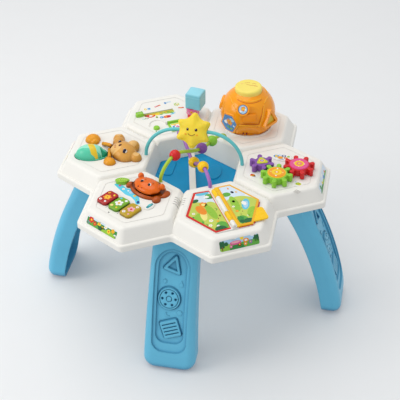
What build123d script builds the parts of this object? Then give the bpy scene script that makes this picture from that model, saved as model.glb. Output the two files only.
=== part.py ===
from build123d import *
import math
import os

os.makedirs("parts", exist_ok=True)

# ---------------------------------------------------------------- sizes, mm
# honeycomb table top; levels are above the rim underside unless said otherwise
hex_side = 106
rim_z = 308
body_height = 42
rim_height = 14
rim_overhang = 15
rim_corner = 11
rim_edge = 4
foot_overhang = 9
top_inset = 6
hill_corner = 14
hill_edge = 8
wall = 2.6
gap = 0.3
play = 0.06
hex_turn = 30
cells = 6

# basin in the middle
basin_apothem = 85.5
basin_depth = 10
basin_flare = 11.5
basin_corner = 6
collar_drop = 9.7
divider_width = 14
divider_height = 6
divider_angle = 102.8
divider_x = -3.4
tray_thickness = 3
tray_margin = 0.8
tray_wall = 2.4
tray_flange = 8
patch_x = -66
patch_y = 30
patch_length = 32
patch_width = 56
patch_height = 2
patch_corner = 10
dish_x = 39
dish_y = 32
dish_length = 32
dish_width = 53
dish_height = 2.4

# engraved outline and small grooves on the panels
outline_apothem = 71
outline_width = 1.3
engrave_depth = 0.6

# bottom cover, posts and screws
cover_level = 1
cover_thickness = 2.6
cover_inset = 3
post_radius = 4
screw_radius = 1.5
screw_head_radius = 3.2
screw_head_height = 1.8
screw_length = 9
outer_post_x = 66
outer_post_y = 30
side_post_x = 30
side_post_y = 62
inner_post_x = -60
tray_screw_inset = 3.4
tray_boss_radius = 3
tray_boss_height = 6

# legs; local x is outward from the rim edge, y sideways
leg_notch_radius = 238
leg_outer_radius = 850
leg_rim_x = -51
leg_low_x = 51
leg_low_z = 40
leg_foot_x = 57
leg_inner_rim_x = -108
leg_inner_mid_x = -32
leg_inner_mid_z = 166
leg_inner_foot_x = 14
leg_top_width = 93
leg_foot_width = 114
leg_foot_corner = 26
leg_edge = 18
leg_wall = 3
leg_hollow_back = 9
leg_sole = 6
leg_window_top = 150
tongue_inner = -72
tongue_outer = -57
tongue_width = 72
tongue_level = 24
catch_height = 4
catch_reach = 1.2
catch_length = 10
recess_width = 74
recess_top = 270
recess_bottom = 50
recess_depth = 3.4
recess_step = 7
recess_bottom_step = 20
recess_inner_depth = 7
relief_height = 3.2
moat_width = 2.4
moat_depth = 1.4
charm_height = 1
triangle_z = 235
triangle_y = 1
triangle_radius = 23
triangle_turn = 75
triangle_frame = 5
triangle_sides = 3
triangle_corner = 2.6
wheel_z = 169
wheel_y = -4
wheel_radius = 23
wheel_groove = 1.4
wheel_hub = 5
square_z = 104
square_y = 2
square_side = 38
square_corner = 3.5
square_turn = 20
bar_width = 2.4
bar_pitch = 7.6
bar_count = 4
star_charm_radius = 5
star_charm_y = -15
star_charm_z = 203
drop_radius = 4
drop_tip = 9
drop_y = 20
drop_z = 198
moon_radius = 5
moon_y = -6
moon_z = 134
flower_petal = 2.3
flower_reach = 3.6
flower_y = 19
flower_z = 140

# petal directions, degrees
book_angle = -60
gear_angle = 0
ball_angle = 60
light_angle = 120
bear_angle = 180
keys_angle = 240

# keys panel
key_length = 42
key_width = 29
key_corner = 8
key_rise = 6
key_edge = 2.8
key_x = 36
key_pitch = 32
key_middle_y = -8
key_travel = 2.5
flange_thickness = 2
flange_reach = 3
stem_radius = 4
stem_tip = -14
leaf_x = -24
leaf_y = -57.5
leaf_length = 27
leaf_width = 17
leaf_turn = 131
leaf_rise = 6
leaf_edge = 3.5
leaf_travel = 2
hippo_x = -41
hippo_length = 50
hippo_width = 80
hippo_height = 11.5
hippo_edge = 5.5
paw_x = -22
paw_y = 38
paw_length = 17
paw_width = 15
paw_height = 8
paw_edge = 3
snout_x = -35
snout_length = 42
snout_width = 62
snout_height = 23
snout_edge = 9
snout_floor = 6
snout_travel = 3
snout_ear_x = -52
snout_ear_y = 31
snout_ear_radius = 5
snout_stem = 5
hippo_peg_y = 30
peg_radius = 3
peg_depth = 7
switch_x = -0.4
switch_y = 42.5
switch_length = 26
switch_width = 15
switch_rise = 3
switch_edge = 2
switch_travel = 5
switch_knob_length = 7
switch_knob_width = 5
switch_knob_rise = 5.5

# circuit board, mat and loudspeaker
board_x = 4
board_y = -16
board_length = 100
board_width = 92
board_thickness = 1.6
board_level = 18.4
board_margin = 6
mat_thickness = 1.2
dome_radius = 5
dome_gap = 0.3
speaker_margin = 2
speaker_radius = 15
speaker_height = 16
speaker_magnet = 9
grille_slots = 4
grille_pitch = 7
grille_length = 24
grille_width = 1.8

# bear panel; local x and y here follow the table's own x and y
bear_body_x = -37
bear_body_y = -24
bear_body_length = 74
bear_body_width = 47
bear_body_turn = 14
bear_body_rise = 21
bear_body_edge = 13
bear_travel = 3
bear_stem_x = 15
bear_head_x = 31
bear_head_y = -10
bear_head_length = 60
bear_head_width = 50
bear_head_turn = 35
bear_head_rise = 26
bear_head_edge = 17
bear_ear_radius = 12
bear_ear_rise = 17
bear_ear_edge = 6
bear_ear_a_x = 12
bear_ear_a_y = 29
bear_ear_b_x = 59
bear_ear_b_y = -28
bear_foot_x = -49
bear_foot_y = 31
bear_foot_radius = 16
bear_foot_rise = 14
bear_foot_edge = 7
bear_hand_x = 9
bear_hand_y = -44
bear_hand_radius = 14
bear_hand_rise = 11
bear_hand_edge = 6
neck_x = 2
neck_y = -3
neck_length = 30
neck_turn = 110
neck_peg_x = 7
neck_peg_y = 3
neck_width = 18
neck_rise = 12
neck_edge = 5
switch_pillar_radius = 6

# book panel; spine runs outward along local x
book_radius = 79.5
book_thickness = 1.4
book_corner = 4
page_margin = 1.5
page_thickness = 3
page_rest = 0.6
page_tab_start = 24
page_tab_length = 38
page_tab_reach = 75
page_tab_corner = 6
spine_radius = 4.6
spine_height = 5.4
pin_radius = 1.5
sleeve_start = -58
barrel_start = -32
barrel_end = 20
sleeve_end = 50
spine_end = 68
spine_foot_width = 5

# gear panel
gear_module = 7.2
green_teeth = 8
red_teeth = 8
purple_teeth = 6
lobe_radius = 5.1
neck_half = 4
root_depth = 6
gear_thickness = 15
gear_lift = 1.7
gear_edge = 1.6
axle_radius = 5
axle_flange_radius = 9
axle_flange = 1.4
axle_spigot = 4
axle_depth = 8
green_gear_y = -38
red_direction = 42.5
purple_direction = 135.8
cap_thickness = 1.6
cap_edge = 0.5
green_cap_radius = 17
red_cap_radius = 19
purple_cap_radius = 17
purple_cap_corner = 4
badge_x = 1
badge_y = 42
badge_length = 44
badge_width = 28
badge_rise = 1.5

# ball panel
ball_radius = 61
ball_centre = 36
ball_floor = 0.4
ball_wall = 3
ball_inner_radius = 52
facet_distance = 56
left_facet_turn = -126
left_facet_rise = -8
low_facet_turn = -79
low_facet_rise = -31
right_facet_turn = -75
right_facet_rise = 16
boss_turn = -94
boss_rise = 33
boss_radius = 14
boss_reach = 62.5
seat_radius = 53
seat_width = 3
seat_rise = 3
cap_radius = 30
cap_top = 100
cap_skirt = 12
cap_shoulder = 5
cap_travel = 3
ledge_level = 80
ledge_width = 5
window_direction = -30
window_elevation = 2
window_radius = 31
window_reach = 66
window_frame = 6
window_depth = 6
window_pane = 2
lens_direction = 178
lens_elevation = 14
lens_radius = 17
lens_reach = 64
port_direction = -89
port_elevation = -38
port_spacing = 9
port_radius = 1.6

# light panel
slot_x = 21
slot_width = 10
slot_margin = 11
slot_end = 70
track_share = 7.2
track_sink = 0.6
track_thickness = 2
knob_length = 17
knob_width = 13
knob_rise = 8
knob_edge = 3
knob_stem = 1.8
knob_stem_length = 8
knob_foot_reach = 3
knob_rest = 61
knob_travel = 69
flap_outer = -32
flap_inner = -67
flap_start = -17
flap_end = 12
flap_thickness = 2.2
flap_lift = 0.6
flap_corner = 5
flap_pin_radius = 1.4
flap_barrel = 3
flap_barrel_height = 3.6
lug_thickness = 3
lamp_x = -42
lamp_y = 40
lamp_radius = 7
lamp_rise = 5
lamp_edge = 2.4
rib_x = -28
rib_y = 34
rib_radius = 20
rib_width = 2.6
rib_rise = 1.6
post_x = -23
post_y = -52
post_base_radius = 12
post_base_rise = 13
post_top_radius = 15
post_top_rise = 26
post_pivot_radius = 5
post_peg_radius = 6
post_peg_rise = 9
post_lift = 0.4
pivot_foot = 8
ring_wall = 2.5
cube_side = 36
cube_edge = 4
cube_turn = 50
cube_x = -19
cube_y = -60

# bead maze
tube_radius = 3.75
wire_foot = 105
socket_depth = 12
socket_wall = 2.6
wire_stand = 3
arch_level = 116
arch_bend = 74
star_long = 39
star_short = 24
star_points = 6
star_thickness = 22
star_edge = 5
star_tip = 5
star_lean = 35
green_first = (-98, 63)
green_top = (-60, 85)
green_slope = (-14, 71)
green_low = (36, 56.5)
green_second = (84, 60)
green_plane = 60
purple_first = (-98, 56)
purple_top = (-68, 65)
purple_slope = (-28, 50)
purple_low = (0, 34)
purple_second = (46, 42)
purple_last = (88, 54)
purple_plane = 120
bead_radius = 12
bead_bore = 5
red_bead_place = 0.271
violet_bead_place = 0.645
lime_bead_place = 0.785
front_bead_place = 0.2265
back_bead_place = 0.514

# battery box
cell_count = 3
cell_radius = 7.1
cell_length = 50
cell_nub_radius = 2.7
cell_nub = 1
cell_clearance = 0.4
contact_thickness = 0.6
contact_space = 3.2
contact_height = 12
coil_radius = 3
box_wall = 2
box_level = 21
door_tab_length = 12
door_tab_width = 14
door_gap = 0.4
door_boss_radius = 5
door_boss_level = 14

# ------------------------------------------------------------ derived sizes
apothem = hex_side * math.cos(math.radians(hex_turn))
petal_pitch = 2 * apothem
top_z = rim_z + body_height
roof_z = top_z - wall
cover_z = rim_z + cover_level
cover_top = cover_z + cover_thickness
wall_rise = body_height - rim_height
wall_slope = math.degrees(math.atan2(foot_overhang + top_inset, wall_rise))
slope_tan = math.tan(math.radians(wall_slope))
slope_cos = math.cos(math.radians(wall_slope))
flare_tan = math.tan(math.radians(basin_flare))
flare_cos = math.cos(math.radians(basin_flare))
rim_edge_radius = petal_pitch + apothem + rim_overhang
deep = 200
midway = 0.5
one_third = 1 / 3
speaker_y = -(leg_notch_radius + tongue_inner - speaker_margin - speaker_radius)
slot_start = knob_rest - knob_travel - slot_margin


# ---------------------------------------------------------------- helpers
def petal_plane(angle, height=0, x=0, y=0, turn=0):
    """Plane on a petal top: x outward, y counter-clockwise, height above the panel."""
    outward = Vector(1, 0, 0).rotate(Axis.Z, angle)
    sideways = Vector(0, 1, 0).rotate(Axis.Z, angle)
    spot = outward * (petal_pitch + x) + sideways * y + Vector(0, 0, top_z + height)
    return Plane(origin=spot, x_dir=Vector(1, 0, 0).rotate(Axis.Z, angle + turn), z_dir=(0, 0, 1))


def petal_vertical(angle, x=0, y=0, height=0):
    """Upright plane on a petal facing outward: its x runs sideways, its y runs up."""
    base = petal_plane(angle, height, x, y)
    sideways = Vector(0, 1, 0).rotate(Axis.Z, angle)
    return Plane(origin=base.origin, x_dir=sideways, z_dir=base.x_dir)


def upright(height):
    return Plane.XY.offset(height)


def petal_hill(base, top, shrink, corner, edge):
    """One raised panel between two levels, its faces moved in by shrink."""
    spread = foot_overhang + (rim_height - base) * slope_tan - shrink / slope_cos
    with BuildPart() as hill:
        with BuildSketch(upright(rim_z + base)):
            RegularPolygon(apothem + spread, cells, major_radius=False, rotation=hex_turn)
        extrude(amount=top - base, taper=wall_slope)
        slanted = hill.edges().filter_by_position(Axis.Z, rim_z + base + wall, rim_z + top - wall)
        fillet(slanted, corner)
        fillet(hill.faces().sort_by(Axis.Z)[-1].edges(), edge)
    return hill.part


def funnel(base, top, grow):
    """Six-sided basin opening between two levels, its walls moved out by grow."""
    reach = basin_apothem + (base + basin_depth) * flare_tan + grow / flare_cos
    with BuildPart() as cone:
        with BuildSketch(upright(rim_z + base)):
            RegularPolygon(reach, cells, major_radius=False, rotation=hex_turn)
        extrude(amount=top - base, taper=-basin_flare)
        slanted = cone.edges().filter_by_position(Axis.Z, rim_z + base + gap, rim_z + top - gap)
        fillet(slanted, basin_corner)
    return cone.part


def honeycomb(base, top, grow, edge=0):
    """Outline of all seven cells between two levels, grown all round."""
    with BuildPart() as comb:
        with BuildSketch(upright(rim_z + base)) as outline:
            RegularPolygon(apothem + grow, cells, major_radius=False, rotation=hex_turn)
            with PolarLocations(petal_pitch, cells):
                RegularPolygon(apothem + grow, cells, major_radius=False, rotation=hex_turn)
            fillet(outline.vertices(), rim_corner)
        extrude(amount=top - base)
        if edge:
            fillet(comb.faces().sort_by(Axis.Z)[-1].edges(), edge)
    return comb.part


def hex_prism(base, top, reach, corner):
    with BuildPart() as prism:
        with BuildSketch(upright(rim_z + base)) as outline:
            RegularPolygon(reach, cells, major_radius=False, rotation=hex_turn)
            fillet(outline.vertices(), corner)
        extrude(amount=top - base)
    return prism.part


def dome(plane, length, width, rise, edge):
    """Oval boss with a rounded top, standing on a plane."""
    with BuildPart() as boss:
        with BuildSketch(plane):
            Ellipse(length / 2, width / 2)
        extrude(amount=rise)
        fillet(boss.faces().sort_by(Axis.Z)[-1].edges(), edge)
    return boss.part


def column(plane, radius, height):
    with BuildPart() as shaft:
        with BuildSketch(plane):
            Circle(radius)
        extrude(amount=height)
    return shaft.part


def save(part, label):
    part.label = label
    export_step(part, "parts/" + label + ".step")


# screw places: two outer and one inner post on each petal
def post_planes(level):
    planes = []
    for angle in (book_angle, ball_angle, light_angle, keys_angle):
        for side in (1, -1):
            planes.append(petal_plane(angle, level - body_height, outer_post_x, side * outer_post_y))
    for angle in (gear_angle, bear_angle):
        for side in (1, -1):
            planes.append(petal_plane(angle, level - body_height, side_post_x, side * side_post_y))
    for angle in (book_angle, gear_angle, ball_angle, light_angle, bear_angle, keys_angle):
        planes.append(petal_plane(angle, level - body_height, inner_post_x))
    return planes


tray_inner = basin_apothem + (cover_level + basin_depth) * flare_tan + wall / flare_cos + tray_margin
tray_outer = tray_inner + tray_wall
tray_reach = tray_outer + tray_flange
tray_screw_radius = tray_reach - tray_screw_inset
cover_hole = basin_apothem + (tray_boss_height + basin_depth) * flare_tan + wall / flare_cos + tray_margin


def tray_screw_planes(level):
    planes = []
    for cell in range(cells):
        planes.append(petal_plane(cell * 360 / cells, level - body_height, tray_screw_radius - petal_pitch))
    return planes


# gear centres and phases follow from the pitch circles
green_pitch = gear_module * green_teeth / 2
red_pitch = gear_module * red_teeth / 2
purple_pitch = gear_module * purple_teeth / 2
red_heading = Vector(1, 0, 0).rotate(Axis.Z, red_direction)
purple_heading = Vector(1, 0, 0).rotate(Axis.Z, purple_direction)
green_spot = Vector(0, green_gear_y, 0)
red_spot = green_spot + red_heading * (green_pitch + red_pitch)
purple_spot = green_spot + purple_heading * (green_pitch + purple_pitch)
green_step = 360 / green_teeth
green_phase = red_direction
red_phase = red_direction + 180 + 180 / red_teeth
green_reach = purple_direction - green_phase
green_lag = green_reach - round(green_reach / green_step) * green_step
purple_phase = purple_direction + 180 + 180 / purple_teeth + green_lag * green_teeth / purple_teeth

# ------------------------------------------------------------ top shell
rim_solid = honeycomb(0, rim_height, rim_overhang, rim_edge)
rim_hollow = honeycomb(-wall, rim_height - wall, rim_overhang - wall)
hill_solid = petal_hill(rim_height - rim_edge, body_height, 0, hill_corner, hill_edge)
hill_hollow = petal_hill(
    rim_height - 2 * wall, body_height - wall, wall, hill_corner - wall, hill_edge - wall
)
basin_opening = funnel(-collar_drop, body_height + wall, 0)
basin_outer = funnel(-collar_drop, body_height + wall, wall)
collar = funnel(-collar_drop, rim_height - wall, wall)
basin_core = funnel(-collar_drop, 0, wall / 2)

with BuildPart() as hollow:
    add(rim_hollow)
    with PolarLocations(petal_pitch, cells):
        add(hill_hollow)
    add(basin_outer, mode=Mode.SUBTRACT)
hollow_solid = hollow.part

with BuildPart() as shell_body:
    add(rim_solid)
    with PolarLocations(petal_pitch, cells):
        add(hill_solid)
    add(hollow_solid, mode=Mode.SUBTRACT)
    add(collar)
    # wire sockets and screw posts hang from the roof
    with PolarLocations(wire_foot, cells):
        with Locations((0, 0, roof_z - socket_depth)):
            seated = (Align.CENTER, Align.CENTER, Align.MIN)
            Cylinder(tube_radius + socket_wall, socket_depth + gap, align=seated)
    for plane in post_planes(cover_level + cover_thickness):
        with BuildSketch(plane):
            Circle(post_radius)
        extrude(amount=roof_z - cover_top + gap)
    add(basin_opening, mode=Mode.SUBTRACT)
shell_solid = shell_body.part

with BuildPart() as divider:
    with BuildSketch(upright(rim_z - collar_drop)):
        with Locations(Location((divider_x, 0, 0), (0, 0, divider_angle))):
            Rectangle(deep, divider_width)
    extrude(amount=divider_height)
    add(basin_core, mode=Mode.INTERSECT)
divider_solid = divider.part

with BuildPart() as outline_cut:
    with BuildSketch(upright(top_z - engrave_depth)) as groove:
        RegularPolygon(outline_apothem, cells, major_radius=False, rotation=hex_turn)
        fillet(groove.vertices(), rim_corner)
        offset(amount=-outline_width, mode=Mode.SUBTRACT)
    extrude(amount=wall)
outline_groove = outline_cut.part

# cutters that let the buttons, pegs and axles through the roof
with BuildPart() as keys_cut:
    for step in (-1, 0, 1):
        with BuildSketch(petal_plane(keys_angle, -2 * wall, key_x, key_middle_y + step * key_pitch)):
            RectangleRounded(key_length + 2 * gap, key_width + 2 * gap, key_corner + gap)
        extrude(amount=deep)
    with BuildSketch(petal_plane(keys_angle, -2 * wall, leaf_x, leaf_y, leaf_turn)):
        Ellipse(leaf_length / 2 + gap, leaf_width / 2 + gap)
    extrude(amount=deep)
    with BuildSketch(petal_plane(keys_angle, -2 * wall, snout_x)):
        Circle(snout_stem + gap)
    extrude(amount=deep)
    for side in (1, -1):
        with BuildSketch(petal_plane(keys_angle, -2 * wall, hippo_x, side * hippo_peg_y)):
            Circle(peg_radius + play)
        extrude(amount=deep)
    with BuildSketch(petal_plane(keys_angle, -2 * wall, switch_x, switch_y)):
        Rectangle(switch_knob_length + 2 * (switch_travel + gap), switch_knob_width + 2 * gap)
    extrude(amount=deep)
keys_openings = keys_cut.part

bear_pegs = (
    (bear_head_x, bear_head_y),
    (bear_foot_x, bear_foot_y),
    (bear_hand_x, bear_hand_y),
    (neck_peg_x, neck_peg_y),
)
bear_turn = -bear_angle


def bear_plane(height, x, y, turn=0):
    return petal_plane(bear_angle, height, -x, -y, bear_turn + turn)


with BuildPart() as bear_cut:
    with BuildSketch(bear_plane(-2 * wall, bear_body_x, bear_body_y, bear_body_turn)):
        Ellipse(bear_body_length / 2 + gap, bear_body_width / 2 + gap)
    extrude(amount=deep)
    for peg_x, peg_y in bear_pegs:
        with BuildSketch(bear_plane(-2 * wall, peg_x, peg_y)):
            Circle(peg_radius + play)
        extrude(amount=deep)
bear_openings = bear_cut.part

with BuildPart() as gear_cut:
    for spot in (green_spot, red_spot, purple_spot):
        with BuildSketch(petal_plane(gear_angle, -2 * wall, spot.X, spot.Y)):
            Circle(axle_spigot + play)
        extrude(amount=deep)
gear_openings = gear_cut.part

with BuildPart() as light_cut:
    with BuildSketch(petal_plane(light_angle, -2 * wall, slot_x, (slot_start + slot_end) / 2)):
        Rectangle(slot_width, slot_end - slot_start)
    extrude(amount=deep)
    with BuildSketch(petal_plane(light_angle, -2 * wall, post_x, post_y)):
        Circle(post_pivot_radius + play)
    extrude(amount=deep)
    with BuildSketch(petal_plane(light_angle, -2 * wall, lamp_x, lamp_y)):
        Circle(peg_radius + play)
    extrude(amount=deep)
light_openings = light_cut.part

wire_angles = (gear_angle, bear_angle, ball_angle, keys_angle, light_angle, book_angle)
with BuildPart() as wire_cut:
    for angle in wire_angles:
        with BuildSketch(petal_plane(angle, -socket_depth, wire_foot - petal_pitch)):
            Circle(tube_radius + play)
        extrude(amount=deep)
wire_openings = wire_cut.part

with BuildPart() as screw_cut:
    for plane in post_planes(cover_level + cover_thickness):
        with BuildSketch(plane):
            Circle(screw_radius + play)
        extrude(amount=screw_length)
screw_openings = screw_cut.part

with BuildPart() as grille_cut:
    with BuildSketch(upright(rim_z + speaker_height)):
        with Locations((0, speaker_y)):
            with GridLocations(0, grille_pitch, 1, grille_slots):
                SlotOverall(grille_length, grille_width)
    extrude(amount=deep)
grille_openings = grille_cut.part

flap_middle = (flap_start + flap_end) / 2
flap_width = flap_end - flap_start
with BuildPart() as lugs:
    for side in (1, -1):
        offset_y = flap_middle + side * (flap_width / 2 + gap + lug_thickness / 2)
        with BuildSketch(petal_plane(light_angle, 0, flap_outer, offset_y)):
            Rectangle(2 * flap_barrel, lug_thickness)
        extrude(amount=flap_barrel_height + flap_barrel)
    pin_plane = petal_plane(light_angle, flap_barrel_height, flap_outer, flap_middle)
    sideways = Vector(0, 1, 0).rotate(Axis.Z, light_angle)
    with BuildSketch(Plane(origin=pin_plane.origin, z_dir=sideways)):
        Circle(flap_pin_radius + play)
    extrude(amount=flap_width, both=True, mode=Mode.SUBTRACT)
flap_lugs = lugs.part

with BuildPart() as rib:
    with BuildSketch(petal_plane(light_angle, 0, rib_x, rib_y)):
        Circle(rib_radius)
        Circle(rib_radius - rib_width, mode=Mode.SUBTRACT)
        with Locations((-rib_radius, 0)):
            Rectangle(2 * rib_radius, 2 * rib_radius, mode=Mode.SUBTRACT)
    extrude(amount=rib_rise)
light_rib = rib.part

switch_plane = petal_plane(keys_angle, 0, switch_x, switch_y)
switch_bump = dome(switch_plane, switch_length, switch_width, switch_rise, switch_edge)
badge_plane = petal_plane(gear_angle, 0, badge_x, badge_y)
gear_badge = dome(badge_plane, badge_length, badge_width, badge_rise, badge_rise / 2)

with BuildPart() as seat:
    with BuildSketch(petal_plane(ball_angle)):
        Circle(seat_radius + seat_width)
        Circle(seat_radius, mode=Mode.SUBTRACT)
    extrude(amount=seat_rise)
    fillet(seat.faces().sort_by(Axis.Z)[-1].edges(), seat_width * one_third)
ball_seat = seat.part

with BuildPart() as top_shell:
    add(shell_solid)
    add(divider_solid)
    with PolarLocations(petal_pitch, cells):
        add(outline_groove, mode=Mode.SUBTRACT)
    add(switch_bump)
    add(gear_badge)
    add(ball_seat)
    add(flap_lugs)
    add(light_rib)
    add(keys_openings, mode=Mode.SUBTRACT)
    add(bear_openings, mode=Mode.SUBTRACT)
    add(gear_openings, mode=Mode.SUBTRACT)
    add(light_openings, mode=Mode.SUBTRACT)
    add(wire_openings, mode=Mode.SUBTRACT)
    add(screw_openings, mode=Mode.SUBTRACT)
    add(grille_openings, mode=Mode.SUBTRACT)
save(top_shell.part, "top_shell")

# ------------------------------------------------------------ legs
middle_x = (leg_rim_x + leg_low_x) / 2
middle_z = (rim_z + leg_low_z) / 2
chord = math.hypot(leg_low_x - leg_rim_x, rim_z - leg_low_z)
rise = math.sqrt(leg_outer_radius ** 2 - (chord / 2) ** 2)
leg_centre_x = middle_x - rise * (rim_z - leg_low_z) / chord
leg_centre_z = middle_z - rise * (leg_low_x - leg_rim_x) / chord
leg_top_x = leg_centre_x + math.sqrt(leg_outer_radius ** 2 - (cover_z - leg_centre_z) ** 2)


def leg_barrel(inset):
    """Solid inside the leg's curved outer face, moved in by inset."""
    with BuildPart() as barrel:
        with BuildSketch(Plane.XZ):
            with Locations((leg_centre_x, leg_centre_z)):
                Circle(leg_outer_radius - inset)
        extrude(amount=leg_foot_width, both=True)
    return barrel.part


def leg_block(inset, floor, opened):
    """Curved leg with its faces moved in by inset; opened runs the hollow out of the inner side."""
    with BuildPart() as block:
        with BuildSketch(Plane.XZ) as profile:
            with BuildLine():
                outer = RadiusArc((leg_top_x, cover_z), (leg_low_x, leg_low_z), leg_outer_radius)
                low = Line(outer @ 1, (leg_foot_x, -leg_sole))
                sole = Line(low @ 1, (leg_inner_foot_x, -leg_sole))
                middle = (leg_inner_mid_x, leg_inner_mid_z)
                inner = ThreePointArc(sole @ 1, middle, (leg_inner_rim_x, cover_z))
                Line(inner @ 1, outer @ 0)
            make_face()
            if inset:
                offset(amount=-inset, kind=Kind.INTERSECTION)
            if opened:
                with BuildLine():
                    Polyline(
                        (leg_low_x - leg_hollow_back, floor),
                        (leg_low_x - leg_hollow_back, leg_window_top - leg_foot_width),
                        (leg_inner_mid_x + 2 * leg_wall, leg_window_top),
                        (leg_inner_rim_x, leg_window_top),
                        (leg_inner_rim_x, floor),
                        close=True,
                    )
                make_face()
        extrude(amount=leg_foot_width, both=True)
        with BuildSketch(Plane.YZ) as front:
            with BuildLine():
                Polyline(
                    (-leg_top_width / 2 + inset, cover_z),
                    (leg_top_width / 2 - inset, cover_z),
                    (leg_foot_width / 2 - inset, floor),
                    (-leg_foot_width / 2 + inset, floor),
                    close=True,
                )
            make_face()
            fillet(front.vertices().group_by(Axis.Y)[0], leg_foot_corner - inset)
        extrude(amount=deep, both=True, mode=Mode.INTERSECT)
        faces = block.faces().filter_by(lambda face: face.normal_at().X > 1 / 2)
        sides = []
        for face in faces:
            for edge in face.edges():
                level = edge.center().Z
                across = abs((edge % midway).Y) > 1 - play
                if not across or level < floor + gap:
                    sides.append(edge)
        fillet(sides, leg_edge - inset)
    return block.part


def recess_cutter(width, top, bottom, depth):
    barrel = leg_barrel(depth)
    with BuildPart() as cutter:
        with BuildSketch(Plane.YZ.offset(leg_rim_x - leg_edge)) as shape:
            with Locations((0, (top - width / 2 + bottom) / 2)):
                Rectangle(width, top - width / 2 - bottom)
            fillet(shape.vertices().group_by(Axis.Y)[0], width * one_third)
            with Locations((0, top - width / 2)):
                Circle(width / 2)
        extrude(amount=deep)
        add(barrel, mode=Mode.SUBTRACT)
    return cutter.part


def relief_band(sketch, face_depth, root_depth):
    """A flat shape cut out between two depths below the leg's curved outer face."""
    top = leg_barrel(face_depth)
    root = leg_barrel(root_depth)
    with BuildPart() as band:
        with BuildSketch(Plane.YZ.offset(leg_rim_x - leg_edge)):
            add(sketch)
        extrude(amount=deep)
        add(top, mode=Mode.INTERSECT)
        add(root, mode=Mode.SUBTRACT)
    return band.part


with BuildSketch() as triangle:
    with Locations((triangle_y, triangle_z)):
        RegularPolygon(triangle_radius, triangle_sides, rotation=triangle_turn)
    fillet(triangle.vertices(), triangle_corner)
    offset(amount=-triangle_frame, mode=Mode.SUBTRACT)
with BuildSketch() as triangle_moat:
    with Locations((triangle_y, triangle_z)):
        RegularPolygon(triangle_radius + 2 * moat_width, triangle_sides, rotation=triangle_turn)
    fillet(triangle_moat.vertices(), triangle_corner + moat_width)

wheel_face = wheel_radius - 2 * wheel_groove - wheel_groove
with BuildSketch() as wheel:
    with Locations((wheel_y, wheel_z)):
        Circle(wheel_radius)
        Circle(wheel_face + wheel_groove, mode=Mode.SUBTRACT)
        Circle(wheel_face)
        with PolarLocations((wheel_radius + wheel_hub) / 2, cells):
            Circle(2 * wheel_groove, mode=Mode.SUBTRACT)
        Circle(wheel_hub + wheel_groove, mode=Mode.SUBTRACT)
        Circle(wheel_hub)
with BuildSketch() as wheel_moat:
    with Locations((wheel_y, wheel_z)):
        Circle(wheel_radius + moat_width)

with BuildSketch() as square:
    with Locations(Location((square_y, square_z, 0), (0, 0, square_turn))):
        RectangleRounded(square_side, square_side, square_corner)
        with GridLocations(0, bar_pitch, 1, bar_count):
            SlotOverall(square_side - 2 * square_corner, bar_width, mode=Mode.SUBTRACT)
with BuildSketch() as square_moat:
    with Locations(Location((square_y, square_z, 0), (0, 0, square_turn))):
        moat_side = square_side + 2 * moat_width
        RectangleRounded(moat_side, moat_side, square_corner + moat_width)

with BuildSketch() as star_charm:
    with Locations((star_charm_y, star_charm_z)):
        RegularPolygon(star_charm_radius, triangle_sides, rotation=90)
        RegularPolygon(star_charm_radius, triangle_sides, rotation=-90)

with BuildSketch() as drop_charm:
    with Locations((drop_y, drop_z)):
        Circle(drop_radius)
    with BuildLine():
        drop_left = (drop_y - drop_radius, drop_z)
        drop_right = (drop_y + drop_radius, drop_z)
        Polyline(drop_left, drop_right, (drop_y, drop_z + drop_tip), close=True)
    make_face()

with BuildSketch() as moon_charm:
    with Locations((moon_y, moon_z)):
        Circle(moon_radius)
    with Locations((moon_y + moon_radius / 2, moon_z + moon_radius / 2)):
        Circle(moon_radius, mode=Mode.SUBTRACT)

with BuildSketch() as flower_charm:
    with Locations((flower_y, flower_z)):
        Circle(flower_petal)
        with PolarLocations(flower_reach, cells):
            Circle(flower_petal)

leg_outside = leg_block(0, 0, False)
leg_inside = leg_block(leg_wall, leg_sole, True)
recess_outer = recess_cutter(recess_width, recess_top, recess_bottom, recess_depth)
floor_width = recess_width - 2 * recess_step
floor_bottom = recess_bottom + recess_bottom_step
recess_inner = recess_cutter(floor_width, recess_top - recess_step, floor_bottom, recess_inner_depth)
recess_back = recess_cutter(
    recess_width + leg_wall, recess_top + leg_wall, recess_bottom - leg_wall, recess_inner_depth + leg_wall
)
relief_face = recess_inner_depth - relief_height
charm_face = recess_inner_depth - charm_height
relief_root = recess_inner_depth + leg_wall / 2
moat_root = recess_inner_depth + moat_depth
reliefs = [relief_band(shape.sketch, relief_face, relief_root) for shape in (triangle, wheel, square)]
moats = [
    relief_band(shape.sketch, -gap, moat_root) for shape in (triangle_moat, wheel_moat, square_moat)
]
charms = [
    relief_band(shape.sketch, charm_face, relief_root)
    for shape in (star_charm, drop_charm, moon_charm, flower_charm)
]

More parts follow.
